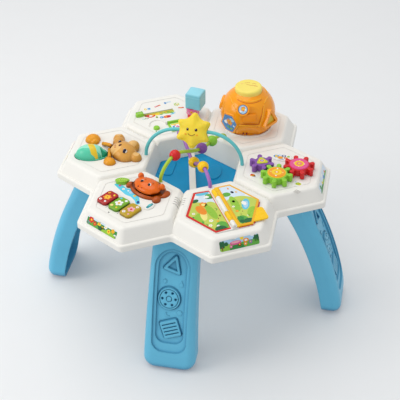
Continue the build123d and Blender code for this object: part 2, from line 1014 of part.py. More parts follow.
with BuildPart() as leg:
    add(leg_outside)
    with BuildPart(mode=Mode.PRIVATE) as leg_space:
        add(leg_inside)
        add(recess_back, mode=Mode.SUBTRACT)
    add(leg_space.part, mode=Mode.SUBTRACT)
    add(recess_outer, mode=Mode.SUBTRACT)
    add(recess_inner, mode=Mode.SUBTRACT)
    for moat in moats:
        add(moat, mode=Mode.SUBTRACT)
    for relief in reliefs + charms:
        add(relief)
    with BuildSketch(upright(cover_z)):
        with Locations(((tongue_inner + tongue_outer) / 2, 0)):
            Rectangle(tongue_outer - tongue_inner, tongue_width)
    extrude(amount=tongue_level - cover_level)
    with BuildSketch(upright(cover_z - leg_wall - gap)):
        with Locations(((tongue_inner + tongue_outer) / 2, 0)):
            Rectangle(tongue_outer - tongue_inner - 2 * leg_wall, tongue_width - 2 * leg_wall)
    extrude(amount=tongue_level - cover_level + gap, mode=Mode.SUBTRACT)
    # snap catches above the cover plate
    with BuildSketch(upright(cover_top + gap)):
        with Locations(((tongue_inner + tongue_outer) / 2, 0)):
            Rectangle(catch_length, tongue_width + 2 * catch_reach)
            Rectangle(catch_length, tongue_width - leg_wall, mode=Mode.SUBTRACT)
    extrude(amount=catch_height)
leg_shape = leg.part

with BuildPart() as leg_right:
    with Locations(Location((rim_edge_radius, 0, 0), (0, 0, 0))):
        add(leg_shape)
save(leg_right.part, "leg_right")

with BuildPart() as leg_left:
    with Locations(Location((-rim_edge_radius, 0, 0), (0, 0, 180))):
        add(leg_shape)
save(leg_left.part, "leg_left")

with BuildPart() as leg_front:
    with Locations(Location((0, -leg_notch_radius, 0), (0, 0, -90))):
        add(leg_shape)
save(leg_front.part, "leg_front")

with BuildPart() as leg_back:
    with Locations(Location((0, leg_notch_radius, 0), (0, 0, 90))):
        add(leg_shape)
save(leg_back.part, "leg_back")

# ------------------------------------------------------------ bottom cover
box_length = cell_length + 2 * contact_space
box_width = cell_count * 2 * (cell_radius + cell_clearance)
box_roof = rim_z + box_level
tab_y = box_length / 2 + door_tab_length / 2
boss_y = box_length / 2 + box_wall + door_boss_radius - gap

cover_solid = honeycomb(cover_level, cover_level + cover_thickness, rim_overhang - cover_inset)
cover_gap = hex_prism(0, body_height, cover_hole, basin_corner)

with BuildPart() as bottom_cover:
    add(cover_solid)
    add(cover_gap, mode=Mode.SUBTRACT)
    # battery box
    with BuildSketch(petal_plane(ball_angle, cover_z - top_z)):
        Rectangle(box_width + 2 * box_wall, box_length + 2 * box_wall)
    extrude(amount=box_roof - cover_z)
    with BuildSketch(petal_plane(ball_angle, cover_z - top_z)):
        Rectangle(box_width, box_length)
    extrude(amount=box_roof - cover_z - box_wall, mode=Mode.SUBTRACT)
    with BuildSketch(petal_plane(ball_angle, cover_z - top_z, 0, tab_y)):
        Rectangle(door_tab_width + 2 * door_gap, door_tab_length + 2 * door_gap)
    extrude(amount=cover_thickness, mode=Mode.SUBTRACT)
    with BuildSketch(petal_plane(ball_angle, cover_top + gap - top_z, 0, boss_y)):
        Circle(door_boss_radius)
        Circle(screw_radius + play, mode=Mode.SUBTRACT)
    extrude(amount=door_boss_level - cover_thickness)
    # stand-offs for the board, pillar for the bear switch, bosses for the tray
    for side_x in (1, -1):
        for side_y in (1, -1):
            stand_x = board_x + side_x * (board_length / 2 - board_margin)
            stand_y = board_y + side_y * (board_width / 2 - board_margin)
            with BuildSketch(petal_plane(keys_angle, cover_top - top_z, stand_x, stand_y)):
                Circle(post_radius)
            extrude(amount=rim_z + board_level - cover_top)
    with BuildSketch(bear_plane(cover_top - top_z, bear_body_x, bear_body_y, bear_body_turn)):
        with Locations((bear_stem_x, 0)):
            Circle(switch_pillar_radius)
    extrude(amount=top_z + stem_tip - bear_travel - mat_thickness - cover_top)
    for plane in tray_screw_planes(cover_level + cover_thickness):
        with BuildSketch(plane):
            Circle(tray_boss_radius)
        extrude(amount=tray_boss_height)
    for plane in tray_screw_planes(cover_level):
        with BuildSketch(plane):
            Circle(screw_radius + play)
        extrude(amount=tray_boss_height, mode=Mode.SUBTRACT)
    for plane in post_planes(cover_level):
        with BuildSketch(plane):
            Circle(screw_radius + play)
        extrude(amount=cover_thickness, mode=Mode.SUBTRACT)
    # sockets for the leg tongues
    with BuildSketch(upright(cover_z)):
        for angle in (gear_angle, bear_angle):
            with Locations(Location((0, 0, 0), (0, 0, angle))):
                with Locations((rim_edge_radius + (tongue_inner + tongue_outer) / 2, 0)):
                    Rectangle(tongue_outer - tongue_inner + 2 * gap, tongue_width + 2 * gap)
        for turn in (90, -90):
            with Locations(Location((0, 0, 0), (0, 0, turn))):
                with Locations((leg_notch_radius + (tongue_inner + tongue_outer) / 2, 0)):
                    Rectangle(tongue_outer - tongue_inner + 2 * gap, tongue_width + 2 * gap)
    extrude(amount=cover_thickness, mode=Mode.SUBTRACT)
save(bottom_cover.part, "bottom_cover")

# ------------------------------------------------------------ basin tray
tray_bottom = -basin_depth - tray_thickness
tray_room = hex_prism(-basin_depth, 0, basin_apothem - gap, basin_corner)
with BuildPart() as raised:
    with BuildSketch(upright(rim_z - basin_depth)):
        with Locations((patch_x, patch_y)):
            RectangleRounded(patch_length, patch_width, patch_corner)
    extrude(amount=patch_height)
    with BuildSketch(upright(rim_z - basin_depth)):
        with Locations((dish_x, dish_y)):
            Ellipse(dish_length / 2, dish_width / 2)
    extrude(amount=dish_height)
    add(tray_room, mode=Mode.INTERSECT)
tray_relief = raised.part

with BuildPart() as basin_tray:
    add(hex_prism(tray_bottom, -basin_depth, tray_outer, basin_corner))
    add(hex_prism(tray_bottom, cover_level, tray_outer, basin_corner))
    add(hex_prism(-basin_depth, cover_level, tray_inner, basin_corner), mode=Mode.SUBTRACT)
    with BuildPart(mode=Mode.PRIVATE) as lip:
        add(hex_prism(cover_level - tray_wall, cover_level, tray_reach, basin_corner))
        tray_floor_cut = hex_prism(cover_level - tray_wall, cover_level, tray_outer - gap, basin_corner)
        add(tray_floor_cut, mode=Mode.SUBTRACT)
    add(lip.part)
    add(tray_relief)
    for plane in tray_screw_planes(cover_level - tray_wall):
        with BuildSketch(plane):
            Circle(screw_radius + play)
        extrude(amount=tray_wall, mode=Mode.SUBTRACT)
save(basin_tray.part, "basin_tray")

# ------------------------------------------------------------ cover screws
with BuildPart() as cover_screws:
    for plane in post_planes(cover_level - screw_head_height):
        with BuildSketch(plane):
            Circle(screw_head_radius)
        extrude(amount=screw_head_height)
        with BuildSketch(plane):
            Circle(screw_radius)
        extrude(amount=screw_head_height + screw_length)
    for plane in tray_screw_planes(cover_level - tray_wall - screw_head_height):
        with BuildSketch(plane):
            Circle(screw_head_radius)
        extrude(amount=screw_head_height)
        with BuildSketch(plane):
            Circle(screw_radius)
        extrude(amount=screw_head_height + tray_wall + tray_boss_height - gap)
save(cover_screws.part, "cover_screws")

# ------------------------------------------------------------ battery box contents
with BuildPart() as battery_door:
    with BuildSketch(petal_plane(ball_angle, cover_z - top_z)):
        Rectangle(box_width - 2 * door_gap, box_length - 2 * door_gap)
        with Locations((0, tab_y - door_gap)):
            Rectangle(door_tab_width, door_tab_length)
    extrude(amount=cover_thickness - gap)
    with BuildSketch(petal_plane(ball_angle, cover_z - top_z, 0, boss_y)):
        Circle(screw_radius + play)
    extrude(amount=cover_thickness, mode=Mode.SUBTRACT)
save(battery_door.part, "battery_door")

with BuildPart() as battery_door_screw:
    with BuildSketch(petal_plane(ball_angle, cover_z - screw_head_height - top_z, 0, boss_y)):
        Circle(screw_head_radius)
    extrude(amount=screw_head_height)
    with BuildSketch(petal_plane(ball_angle, cover_z - top_z, 0, boss_y)):
        Circle(screw_radius)
    extrude(amount=screw_length)
save(battery_door_screw.part, "battery_door_screw")

cell_axis = cover_top + cell_clearance + cell_radius
cell_pitch = 2 * (cell_radius + cell_clearance)
with BuildPart() as batteries:
    for place in range(cell_count):
        row_x = (place - (cell_count - 1) / 2) * cell_pitch
        flip = 1 - 2 * (place % 2)
        start = petal_plane(ball_angle, cell_axis - top_z, row_x, -flip * (cell_length - cell_nub) / 2)
        heading = Vector(0, flip, 0).rotate(Axis.Z, ball_angle)
        with BuildSketch(Plane(origin=start.origin, z_dir=heading)):
            Circle(cell_radius)
        extrude(amount=cell_length - 2 * cell_nub)
        with BuildSketch(Plane(origin=start.origin, z_dir=heading)):
            Circle(cell_nub_radius)
        extrude(amount=cell_length - cell_nub)
save(batteries.part, "batteries")

with BuildPart() as battery_contacts:
    for side in (1, -1):
        plate_y = side * (box_length / 2 - contact_thickness / 2)
        with BuildSketch(petal_plane(ball_angle, cover_top + cell_clearance - top_z, 0, plate_y)):
            Rectangle(box_width - 2 * cell_clearance, contact_thickness)
        extrude(amount=contact_height)
        for place in range(cell_count):
            row_x = (place - (cell_count - 1) / 2) * cell_pitch
            along = side * (box_length / 2 - contact_thickness)
            inner = petal_vertical(ball_angle, row_x, along, cell_axis - top_z)
            heading = Vector(0, -side, 0).rotate(Axis.Z, ball_angle)
            with BuildSketch(Plane(origin=inner.origin, z_dir=heading)):
                Circle(coil_radius)
            extrude(amount=contact_space - contact_thickness - gap)
save(battery_contacts.part, "battery_contacts")

# ------------------------------------------------------------ electronics
board_bottom = rim_z + board_level
with BuildPart() as circuit_board:
    with BuildSketch(petal_plane(keys_angle, board_bottom - top_z, board_x, board_y)):
        RectangleRounded(board_length, board_width, board_thickness)
    extrude(amount=board_thickness)
save(circuit_board.part, "circuit_board")

board_face = board_bottom + board_thickness
mat_top = board_face + mat_thickness
key_rows = (key_middle_y - key_pitch, key_middle_y, key_middle_y + key_pitch)


def dome_height(travel):
    """Height of a rubber dome that just clears the stem at full press."""
    return top_z + stem_tip - travel - dome_gap - mat_top


with BuildPart() as key_switch_mat:
    with BuildSketch(petal_plane(keys_angle, board_face - top_z, board_x, board_y)):
        mat_length = board_length - 2 * board_thickness
        mat_width = board_width - 2 * board_thickness
        RectangleRounded(mat_length, mat_width, board_thickness)
    extrude(amount=mat_thickness)
    for row in key_rows:
        with BuildSketch(petal_plane(keys_angle, mat_top - top_z, key_x, row)):
            Circle(dome_radius)
        extrude(amount=dome_height(key_travel))
    with BuildSketch(petal_plane(keys_angle, mat_top - top_z, leaf_x, leaf_y)):
        Circle(dome_radius)
    extrude(amount=dome_height(leaf_travel))
    with BuildSketch(petal_plane(keys_angle, mat_top - top_z, snout_x)):
        Circle(dome_radius)
    extrude(amount=dome_height(snout_travel))
save(key_switch_mat.part, "key_switch_mat")

with BuildPart() as speaker:
    with BuildSketch(upright(cover_top)):
        with Locations((0, speaker_y)):
            Circle(speaker_magnet)
    extrude(amount=speaker_height / 2)
    with BuildSketch(upright(cover_top + speaker_height / 2)) as cone_low:
        with Locations((0, speaker_y)):
            Circle(speaker_magnet)
    with BuildSketch(upright(cover_top + speaker_height)) as cone_high:
        with Locations((0, speaker_y)):
            Circle(speaker_radius)
    loft([cone_low.sketch, cone_high.sketch])
    with BuildSketch(upright(cover_top + speaker_height)):
        with Locations((0, speaker_y)):
            Circle(speaker_radius)
    extrude(amount=cover_thickness)
save(speaker.part, "speaker")

# ------------------------------------------------------------ keys and buttons


def flange_and_stem(plane, flange_length, flange_width, tip, stem_x=0):
    """Retaining flange under the roof and the stem that works the switch."""
    with BuildPart() as lower:
        with BuildSketch(plane.offset(-wall - gap)):
            Rectangle(flange_length, flange_width)
        extrude(amount=-flange_thickness)
        with BuildSketch(plane.offset(-wall - gap)):
            with Locations((stem_x, 0)):
                Circle(stem_radius)
        extrude(amount=tip + wall + gap)
    return lower.part


def piano_key(row):
    with BuildPart() as cap:
        with BuildSketch(petal_plane(keys_angle, -wall - gap, key_x, row)):
            RectangleRounded(key_length, key_width, key_corner)
        extrude(amount=wall + gap + key_rise)
        fillet(cap.faces().sort_by(Axis.Z)[-1].edges(), key_edge)
    seat = petal_plane(keys_angle, 0, key_x, row)
    lower = flange_and_stem(seat, key_length + 2 * flange_reach, key_width, stem_tip)
    with BuildPart() as key:
        add(cap.part)
        add(lower)
    return key.part


with BuildPart() as key_red:
    add(piano_key(key_rows[0]))
save(key_red.part, "key_red")

with BuildPart() as key_green:
    add(piano_key(key_rows[1]))
save(key_green.part, "key_green")

with BuildPart() as key_yellow:
    add(piano_key(key_rows[2]))
save(key_yellow.part, "key_yellow")

leaf_cap = dome(
    petal_plane(keys_angle, -wall - gap, leaf_x, leaf_y, leaf_turn),
    leaf_length, leaf_width, wall + gap + leaf_rise, leaf_edge
)
leaf_plane = petal_plane(keys_angle, 0, leaf_x, leaf_y, leaf_turn)
leaf_lower = flange_and_stem(leaf_plane, leaf_length + 2 * flange_reach, leaf_width / 2, stem_tip)
with BuildPart() as leaf_button:
    add(leaf_cap)
    add(leaf_lower)
save(leaf_button.part, "leaf_button")

hippo_mass = dome(petal_plane(keys_angle, 0, hippo_x), hippo_length, hippo_width, hippo_height, hippo_edge)
snout_well = dome(
    petal_plane(keys_angle, snout_floor, snout_x),
    snout_length + 2 * gap, snout_width + 2 * gap, snout_height, gap
)
paws = [
    dome(petal_plane(keys_angle, 0, paw_x, side * paw_y), paw_length, paw_width, paw_height, paw_edge)
    for side in (1, -1)
]
with BuildPart() as hippo_body:
    add(hippo_mass)
    for paw in paws:
        add(paw)
    add(snout_well, mode=Mode.SUBTRACT)
    with BuildSketch(petal_plane(keys_angle, 0, snout_x)):
        Circle(snout_stem + gap)
    extrude(amount=hippo_height, mode=Mode.SUBTRACT)
    for side in (1, -1):
        with BuildSketch(petal_plane(keys_angle, -peg_depth, hippo_x, side * hippo_peg_y)):
            Circle(peg_radius)
        extrude(amount=peg_depth + wall)
save(hippo_body.part, "hippo_body")

snout_bottom = snout_floor + snout_travel + gap
snout_top = dome(
    petal_plane(keys_angle, snout_bottom, snout_x),
    snout_length, snout_width, snout_height - snout_bottom, snout_edge
)
with BuildPart() as hippo_head:
    add(snout_top)
    for side in (1, -1):
        ear_plane = petal_plane(keys_angle, 0, snout_ear_x, side * snout_ear_y)
        with Locations(ear_plane.origin + Vector(0, 0, snout_height)):
            Sphere(snout_ear_radius)
        root_x = snout_ear_x + snout_ear_radius
        root_y = side * (snout_ear_y - snout_ear_radius)
        root_plane = petal_plane(keys_angle, 0, root_x, root_y)
        with Locations(root_plane.origin + Vector(0, 0, snout_height - snout_ear_radius / 2)):
            Sphere(snout_ear_radius)
    with BuildSketch(petal_plane(keys_angle, stem_tip, snout_x)):
        Circle(snout_stem)
    extrude(amount=snout_bottom - stem_tip)
    with BuildSketch(petal_plane(keys_angle, -wall - gap - flange_thickness, snout_x)):
        Circle(snout_stem + flange_thickness)
    extrude(amount=flange_thickness)
save(hippo_head.part, "hippo_head")

with BuildPart() as power_switch:
    with BuildSketch(petal_plane(keys_angle, -wall - gap, switch_x, switch_y)):
        Rectangle(switch_knob_length, switch_knob_width)
    extrude(amount=wall + gap + switch_knob_rise)
    fillet(power_switch.faces().sort_by(Axis.Z)[-1].edges(), cap_edge)
    with BuildSketch(petal_plane(keys_angle, -wall - gap - flange_thickness, switch_x, switch_y)):
        Rectangle(switch_knob_length, switch_knob_width + 2 * flange_reach)
    extrude(amount=flange_thickness)
save(power_switch.part, "power_switch")

# ------------------------------------------------------------ bear panel
bear_cap = dome(
    bear_plane(-wall - gap, bear_body_x, bear_body_y, bear_body_turn),
    bear_body_length, bear_body_width, wall + gap + bear_body_rise, bear_body_edge
)
bear_button_plane = bear_plane(0, bear_body_x, bear_body_y, bear_body_turn)
bear_lower = flange_and_stem(
    bear_button_plane, bear_body_length + 2 * flange_reach, bear_body_width / 2, stem_tip, bear_stem_x
)
with BuildPart() as bear_body:
    add(bear_cap)
    add(bear_lower)
save(bear_body.part, "bear_body")


def bear_boss(x, y, length, width, rise, edge, turn=0):
    return dome(bear_plane(0, x, y, turn), length, width, rise, edge)


def round_boss(x, y, radius, rise, edge):
    return bear_boss(x, y, 2 * radius, 2 * radius, rise, edge)


def bear_peg(x, y):
    return column(bear_plane(-peg_depth, x, y), peg_radius, peg_depth + wall)


head_boss = bear_boss(bear_head_x, bear_head_y, bear_head_length, bear_head_width,
                      bear_head_rise, bear_head_edge, bear_head_turn)
ear_a = round_boss(bear_ear_a_x, bear_ear_a_y, bear_ear_radius, bear_ear_rise, bear_ear_edge)
ear_b = round_boss(bear_ear_b_x, bear_ear_b_y, bear_ear_radius, bear_ear_rise, bear_ear_edge)
neck_boss = bear_boss(neck_x, neck_y, neck_length, neck_width, neck_rise, neck_edge, neck_turn)
with BuildPart() as bear_room:
    with BuildSketch(bear_plane(-gap, bear_body_x, bear_body_y, bear_body_turn)):
        Ellipse(bear_body_length / 2 + 2 * gap, bear_body_width / 2 + 2 * gap)
    extrude(amount=deep)
body_room = bear_room.part

with BuildPart() as bear_head:
    add(head_boss)
    add(ear_a)
    add(ear_b)
    add(neck_boss)
    add(body_room, mode=Mode.SUBTRACT)
    add(bear_peg(bear_head_x, bear_head_y))
    add(bear_peg(neck_peg_x, neck_peg_y))
save(bear_head.part, "bear_head")

foot_boss = round_boss(bear_foot_x, bear_foot_y, bear_foot_radius, bear_foot_rise, bear_foot_edge)
with BuildPart() as bear_foot:
    add(foot_boss)
    add(body_room, mode=Mode.SUBTRACT)
    add(bear_peg(bear_foot_x, bear_foot_y))
save(bear_foot.part, "bear_foot")

hand_boss = round_boss(bear_hand_x, bear_hand_y, bear_hand_radius, bear_hand_rise, bear_hand_edge)
head_room = dome(bear_plane(-gap, bear_head_x, bear_head_y, bear_head_turn),
                 bear_head_length + 2 * gap, bear_head_width + 2 * gap, deep, gap)
with BuildPart() as bear_hand:
    add(hand_boss)
    add(body_room, mode=Mode.SUBTRACT)
    add(head_room, mode=Mode.SUBTRACT)
    add(bear_peg(bear_hand_x, bear_hand_y))
save(bear_hand.part, "bear_hand")

# ------------------------------------------------------------ book panel
with BuildPart() as book_panel:
    with BuildSketch(petal_plane(book_angle)) as leaf_outline:
        RegularPolygon(book_radius, cells, rotation=hex_turn)
        fillet(leaf_outline.vertices(), book_corner)
    extrude(amount=book_thickness)
    # spine barrel ends: inner and outer saddles carry the pin
    for start, end in ((barrel_start, barrel_end), (sleeve_end, spine_end)):
        with BuildSketch(petal_plane(book_angle, 0, (start + end) / 2)):
            Rectangle(end - start - 2 * gap, spine_foot_width)
        extrude(amount=spine_height)
        saddle = petal_plane(book_angle, spine_height, start + gap)
        with BuildSketch(Plane(origin=saddle.origin, z_dir=saddle.x_dir)):
            Circle(spine_radius)
        extrude(amount=end - start - 2 * gap)
    bore = petal_plane(book_angle, spine_height, sleeve_start)
    with BuildSketch(Plane(origin=bore.origin, z_dir=bore.x_dir)):
        Circle(pin_radius + play)
    extrude(amount=deep, mode=Mode.SUBTRACT)
save(book_panel.part, "book_panel")

with BuildPart() as spine_pin:
    pin_start = petal_plane(book_angle, spine_height, sleeve_start)
    with BuildSketch(Plane(origin=pin_start.origin, z_dir=pin_start.x_dir)):
        Circle(pin_radius)
    extrude(amount=spine_end - gap - sleeve_start)
save(spine_pin.part, "spine_pin")

page_apothem = book_radius * math.cos(math.radians(hex_turn)) - page_margin
page_level = book_thickness + page_rest
sleeve_radius = spine_height - book_thickness - gap
with BuildPart() as book_page:
    with BuildSketch(petal_plane(book_angle, page_level)) as page_outline:
        RegularPolygon(page_apothem, cells, major_radius=False, rotation=hex_turn)
        with Locations((0, -deep / 2 + spine_radius + gap)):
            Rectangle(deep, deep, mode=Mode.SUBTRACT)
        fillet(page_outline.vertices().group_by(Axis.Y)[-1], book_corner)
        with Locations((page_tab_start + page_tab_length / 2, page_tab_reach / 2 + spine_radius / 2)):
            RectangleRounded(page_tab_length, page_tab_reach - spine_radius, page_tab_corner)
    extrude(amount=page_thickness)
    for start, end in ((sleeve_start, barrel_start), (barrel_end, sleeve_end)):
        with BuildSketch(petal_plane(book_angle, page_level, (start + end) / 2, spine_radius)):
            Rectangle(end - start - 2 * gap, 2 * spine_radius)
        extrude(amount=page_thickness)
        sleeve = petal_plane(book_angle, spine_height, start + gap)
        with BuildSketch(Plane(origin=sleeve.origin, z_dir=sleeve.x_dir)):
            Circle(sleeve_radius)
        extrude(amount=end - start - 2 * gap)
    page_bore = petal_plane(book_angle, spine_height, sleeve_start)
    with BuildSketch(Plane(origin=page_bore.origin, z_dir=page_bore.x_dir)):
        Circle(pin_radius + play)
    extrude(amount=deep, mode=Mode.SUBTRACT)
save(book_page.part, "book_page")

# ------------------------------------------------------------ gears


def lobed_gear(spot, teeth, pitch_radius, phase):
    plane = petal_plane(gear_angle, gear_lift, spot.X, spot.Y, phase)
    with BuildPart() as gear:
        with BuildSketch(plane):
            Circle(pitch_radius - root_depth)
            with PolarLocations(pitch_radius, teeth):
                Circle(lobe_radius)
            with PolarLocations(pitch_radius / 2, teeth):
                Rectangle(pitch_radius, 2 * neck_half)
        extrude(amount=gear_thickness)
        fillet(gear.faces().sort_by(Axis.Z)[-1].edges(), gear_edge)
        with BuildSketch(petal_plane(gear_angle, 0, spot.X, spot.Y)):
            Circle(axle_radius + play)
        extrude(amount=deep, mode=Mode.SUBTRACT)
    return gear.part


with BuildPart() as gear_green:
    add(lobed_gear(green_spot, green_teeth, green_pitch, green_phase))
save(gear_green.part, "gear_green")

with BuildPart() as gear_red:
    add(lobed_gear(red_spot, red_teeth, red_pitch, red_phase))
save(gear_red.part, "gear_red")

with BuildPart() as gear_purple:
    add(lobed_gear(purple_spot, purple_teeth, purple_pitch, purple_phase))
save(gear_purple.part, "gear_purple")

gear_top = gear_lift + gear_thickness
with BuildPart() as gear_axles:
    for spot in (green_spot, red_spot, purple_spot):
        with BuildSketch(petal_plane(gear_angle, 0, spot.X, spot.Y)):
            Circle(axle_flange_radius)
        extrude(amount=axle_flange)
        with BuildSketch(petal_plane(gear_angle, 0, spot.X, spot.Y)):
            Circle(axle_radius)
        extrude(amount=gear_top - gap)
        with BuildSketch(petal_plane(gear_angle, -axle_depth, spot.X, spot.Y)):
            Circle(axle_spigot)
        extrude(amount=axle_depth)
save(gear_axles.part, "gear_axles")

with BuildPart() as gear_cap_green:
    with BuildSketch(petal_plane(gear_angle, gear_top, green_spot.X, green_spot.Y)):
        Circle(green_cap_radius)
    extrude(amount=cap_thickness)
    fillet(gear_cap_green.faces().sort_by(Axis.Z)[-1].edges(), cap_edge)
save(gear_cap_green.part, "gear_cap_green")

with BuildPart() as gear_cap_red:
    with BuildSketch(petal_plane(gear_angle, gear_top, red_spot.X, red_spot.Y)):
        Circle(red_cap_radius)
    extrude(amount=cap_thickness)
    fillet(gear_cap_red.faces().sort_by(Axis.Z)[-1].edges(), cap_edge)
save(gear_cap_red.part, "gear_cap_red")

with BuildPart() as gear_cap_purple:
    purple_seat = petal_plane(gear_angle, gear_top, purple_spot.X, purple_spot.Y, purple_phase)
    with BuildSketch(purple_seat) as cap_outline:
        RegularPolygon(purple_cap_radius, triangle_sides)
        fillet(cap_outline.vertices(), purple_cap_corner)
    extrude(amount=cap_thickness)
    fillet(gear_cap_purple.faces().sort_by(Axis.Z)[-1].edges(), cap_edge)
save(gear_cap_purple.part, "gear_cap_purple")

# ------------------------------------------------------------ ball
ball_spot = petal_plane(ball_angle, ball_centre).origin
ball_flat = math.sqrt(ball_radius ** 2 - (ball_centre - ball_floor) ** 2)
facets = (
    (left_facet_turn, left_facet_rise),
    (low_facet_turn, low_facet_rise),
    (right_facet_turn, right_facet_rise),
)


def ball_direction(azimuth, elevation):
    return Vector(1, 0, 0).rotate(Axis.Y, -elevation).rotate(Axis.Z, azimuth)


def ball_facing(azimuth, elevation, distance):
    """Plane facing out of the ball, its x direction level."""
    heading = ball_direction(azimuth, elevation)
    level = Vector(0, 1, 0).rotate(Axis.Z, azimuth)
    return Plane(origin=ball_spot + heading * distance, x_dir=level, z_dir=heading)


window_plane = ball_facing(window_direction, window_elevation, 0)
lens_plane = ball_facing(lens_direction, lens_elevation, 0)

with BuildPart() as ball_shell:
    with Locations(ball_spot):
        Sphere(ball_radius)
    for turn, tilt in facets:
        for half_turn in (0, 180):
            with BuildSketch(ball_facing(turn + half_turn, tilt, facet_distance)):
                Circle(ball_radius)
            extrude(amount=ball_radius, mode=Mode.SUBTRACT)
    with BuildSketch(ball_facing(boss_turn, boss_rise, 0)):
        Circle(boss_radius)
    extrude(amount=boss_reach)
    # window frame, lens bulge
    with BuildSketch(window_plane) as frame_outline:
        RegularPolygon(window_radius, triangle_sides, rotation=90)
        fillet(frame_outline.vertices(), window_frame)
    extrude(amount=window_reach)
    with BuildSketch(lens_plane):
        Circle(lens_radius)
    extrude(amount=lens_reach)
    fillet(ball_shell.faces().sort_by(Axis.X)[0].edges(), cap_shoulder)
    # flat foot
    with BuildSketch(petal_plane(ball_angle, ball_floor)):
        Circle(deep)
    extrude(amount=-deep, mode=Mode.SUBTRACT)
    # hollow, leaving a floor
    with Locations(ball_spot):
        Sphere(ball_inner_radius, mode=Mode.SUBTRACT)
    with BuildPart(mode=Mode.PRIVATE) as floor_disc:
        with BuildSketch(petal_plane(ball_angle, ball_floor)):
            Circle(ball_flat - ball_wall)
        extrude(amount=ball_wall)
    add(floor_disc.part)
    # window opening with a seat for the pane
    with BuildSketch(window_plane.offset(ball_inner_radius - 2 * ball_wall)) as sight:
        RegularPolygon(window_radius, triangle_sides, rotation=90)
        fillet(sight.vertices(), window_frame)
        offset(amount=-window_frame - window_pane)
    extrude(amount=deep, mode=Mode.SUBTRACT)
    with BuildSketch(window_plane.offset(window_reach - window_depth)) as seat_shape:
        RegularPolygon(window_radius, triangle_sides, rotation=90)
        fillet(seat_shape.vertices(), window_frame)
        offset(amount=-window_frame)
    extrude(amount=deep, mode=Mode.SUBTRACT)
    # cap opening with a ledge under it
    with BuildSketch(petal_plane(ball_angle, ledge_level)):
        Circle(cap_radius + gap)
    extrude(amount=deep, mode=Mode.SUBTRACT)
    with BuildSketch(petal_plane(ball_angle, ledge_level - ball_wall)):
        Circle(cap_radius + ball_wall)
        Circle(cap_radius - ledge_width, mode=Mode.SUBTRACT)
    extrude(amount=ball_wall)
    # two small ports low on the front
    for side in (1, -1):
        heading = port_direction + side * port_spacing / 2
        with BuildSketch(ball_facing(heading, port_elevation, ball_inner_radius - ball_wall)):
            Circle(port_radius)
        extrude(amount=deep, mode=Mode.SUBTRACT)
save(ball_shell.part, "ball_shell")

with BuildPart() as ball_window:
    with BuildSketch(window_plane.offset(window_reach - window_depth)) as pane:
        RegularPolygon(window_radius, triangle_sides, rotation=90)
        fillet(pane.vertices(), window_frame)
        offset(amount=-window_frame - play)
    extrude(amount=window_pane)
save(ball_window.part, "ball_window")

cap_bottom = ledge_level + cap_travel + gap
with BuildPart() as ball_cap:
    with BuildSketch(petal_plane(ball_angle, cap_bottom)):
        Circle(cap_radius)
    extrude(amount=cap_top - cap_bottom)
    fillet(ball_cap.faces().sort_by(Axis.Z)[-1].edges(), cap_shoulder)
    with BuildSketch(petal_plane(ball_angle, cap_bottom)):
        Circle(cap_radius - ball_wall)
    extrude(amount=cap_skirt - ball_wall, mode=Mode.SUBTRACT)
    # stem through the ledge ring with a catch below it
    with BuildSketch(petal_plane(ball_angle, cap_bottom)):
        Circle(cap_radius - ledge_width - gap)
        Circle(cap_radius - ledge_width - gap - flange_thickness, mode=Mode.SUBTRACT)
    extrude(amount=cap_skirt)
    with BuildSketch(petal_plane(ball_angle, ledge_level - ball_wall - gap - flange_thickness)):
        Circle(cap_radius - ledge_width - gap)
        Circle(cap_radius - ledge_width - gap - flange_thickness, mode=Mode.SUBTRACT)
    extrude(amount=cap_bottom - ledge_level + ball_wall + gap + flange_thickness)
    with BuildSketch(petal_plane(ball_angle, ledge_level - ball_wall - gap - flange_thickness)):
        Circle(cap_radius - ledge_width + flange_thickness)
        Circle(cap_radius - ledge_width - gap - flange_thickness, mode=Mode.SUBTRACT)
    extrude(amount=flange_thickness)
save(ball_cap.part, "ball_cap")

# ------------------------------------------------------------ light panel
slot_middle = (slot_start + slot_end) / 2
slot_length = slot_end - slot_start
slot_inner = slot_x - slot_width / 2
track_x = slot_inner + track_share / 2
with BuildPart() as slider_track:
    with BuildSketch(petal_plane(light_angle, -wall - track_thickness, track_x - gap, slot_middle)):
        Rectangle(track_share + 2 * flange_reach - 2 * gap, slot_length - 2 * gap)
        with Locations((flange_reach / 2 + track_share, 0)):
            Rectangle(3 * flange_reach, slot_length, mode=Mode.SUBTRACT)
    extrude(amount=track_thickness)
    with BuildSketch(petal_plane(light_angle, -wall - track_thickness, track_x, slot_middle)):
        Rectangle(track_share - 2 * gap, slot_length - 2 * gap)
    extrude(amount=wall + track_thickness - track_sink)
save(slider_track.part, "slider_track")

stem_x = slot_x + slot_width / 2 - gap - knob_stem / 2
with BuildPart() as slider_knob:
    with BuildSketch(petal_plane(light_angle, gap, slot_x, knob_rest)):
        RectangleRounded(knob_width, knob_length, knob_edge)
    extrude(amount=knob_rise)
    fillet(slider_knob.faces().sort_by(Axis.Z)[-1].edges(), knob_edge - gap)
    with BuildSketch(petal_plane(light_angle, gap, stem_x, knob_rest)):
        Rectangle(knob_stem, knob_stem_length)
    extrude(amount=-wall - 2 * gap)
    with BuildSketch(petal_plane(light_angle, -wall - gap, stem_x + knob_foot_reach / 2, knob_rest)):
        Rectangle(knob_stem + knob_foot_reach, knob_stem_length)
    extrude(amount=-flange_thickness)
save(slider_knob.part, "slider_knob")

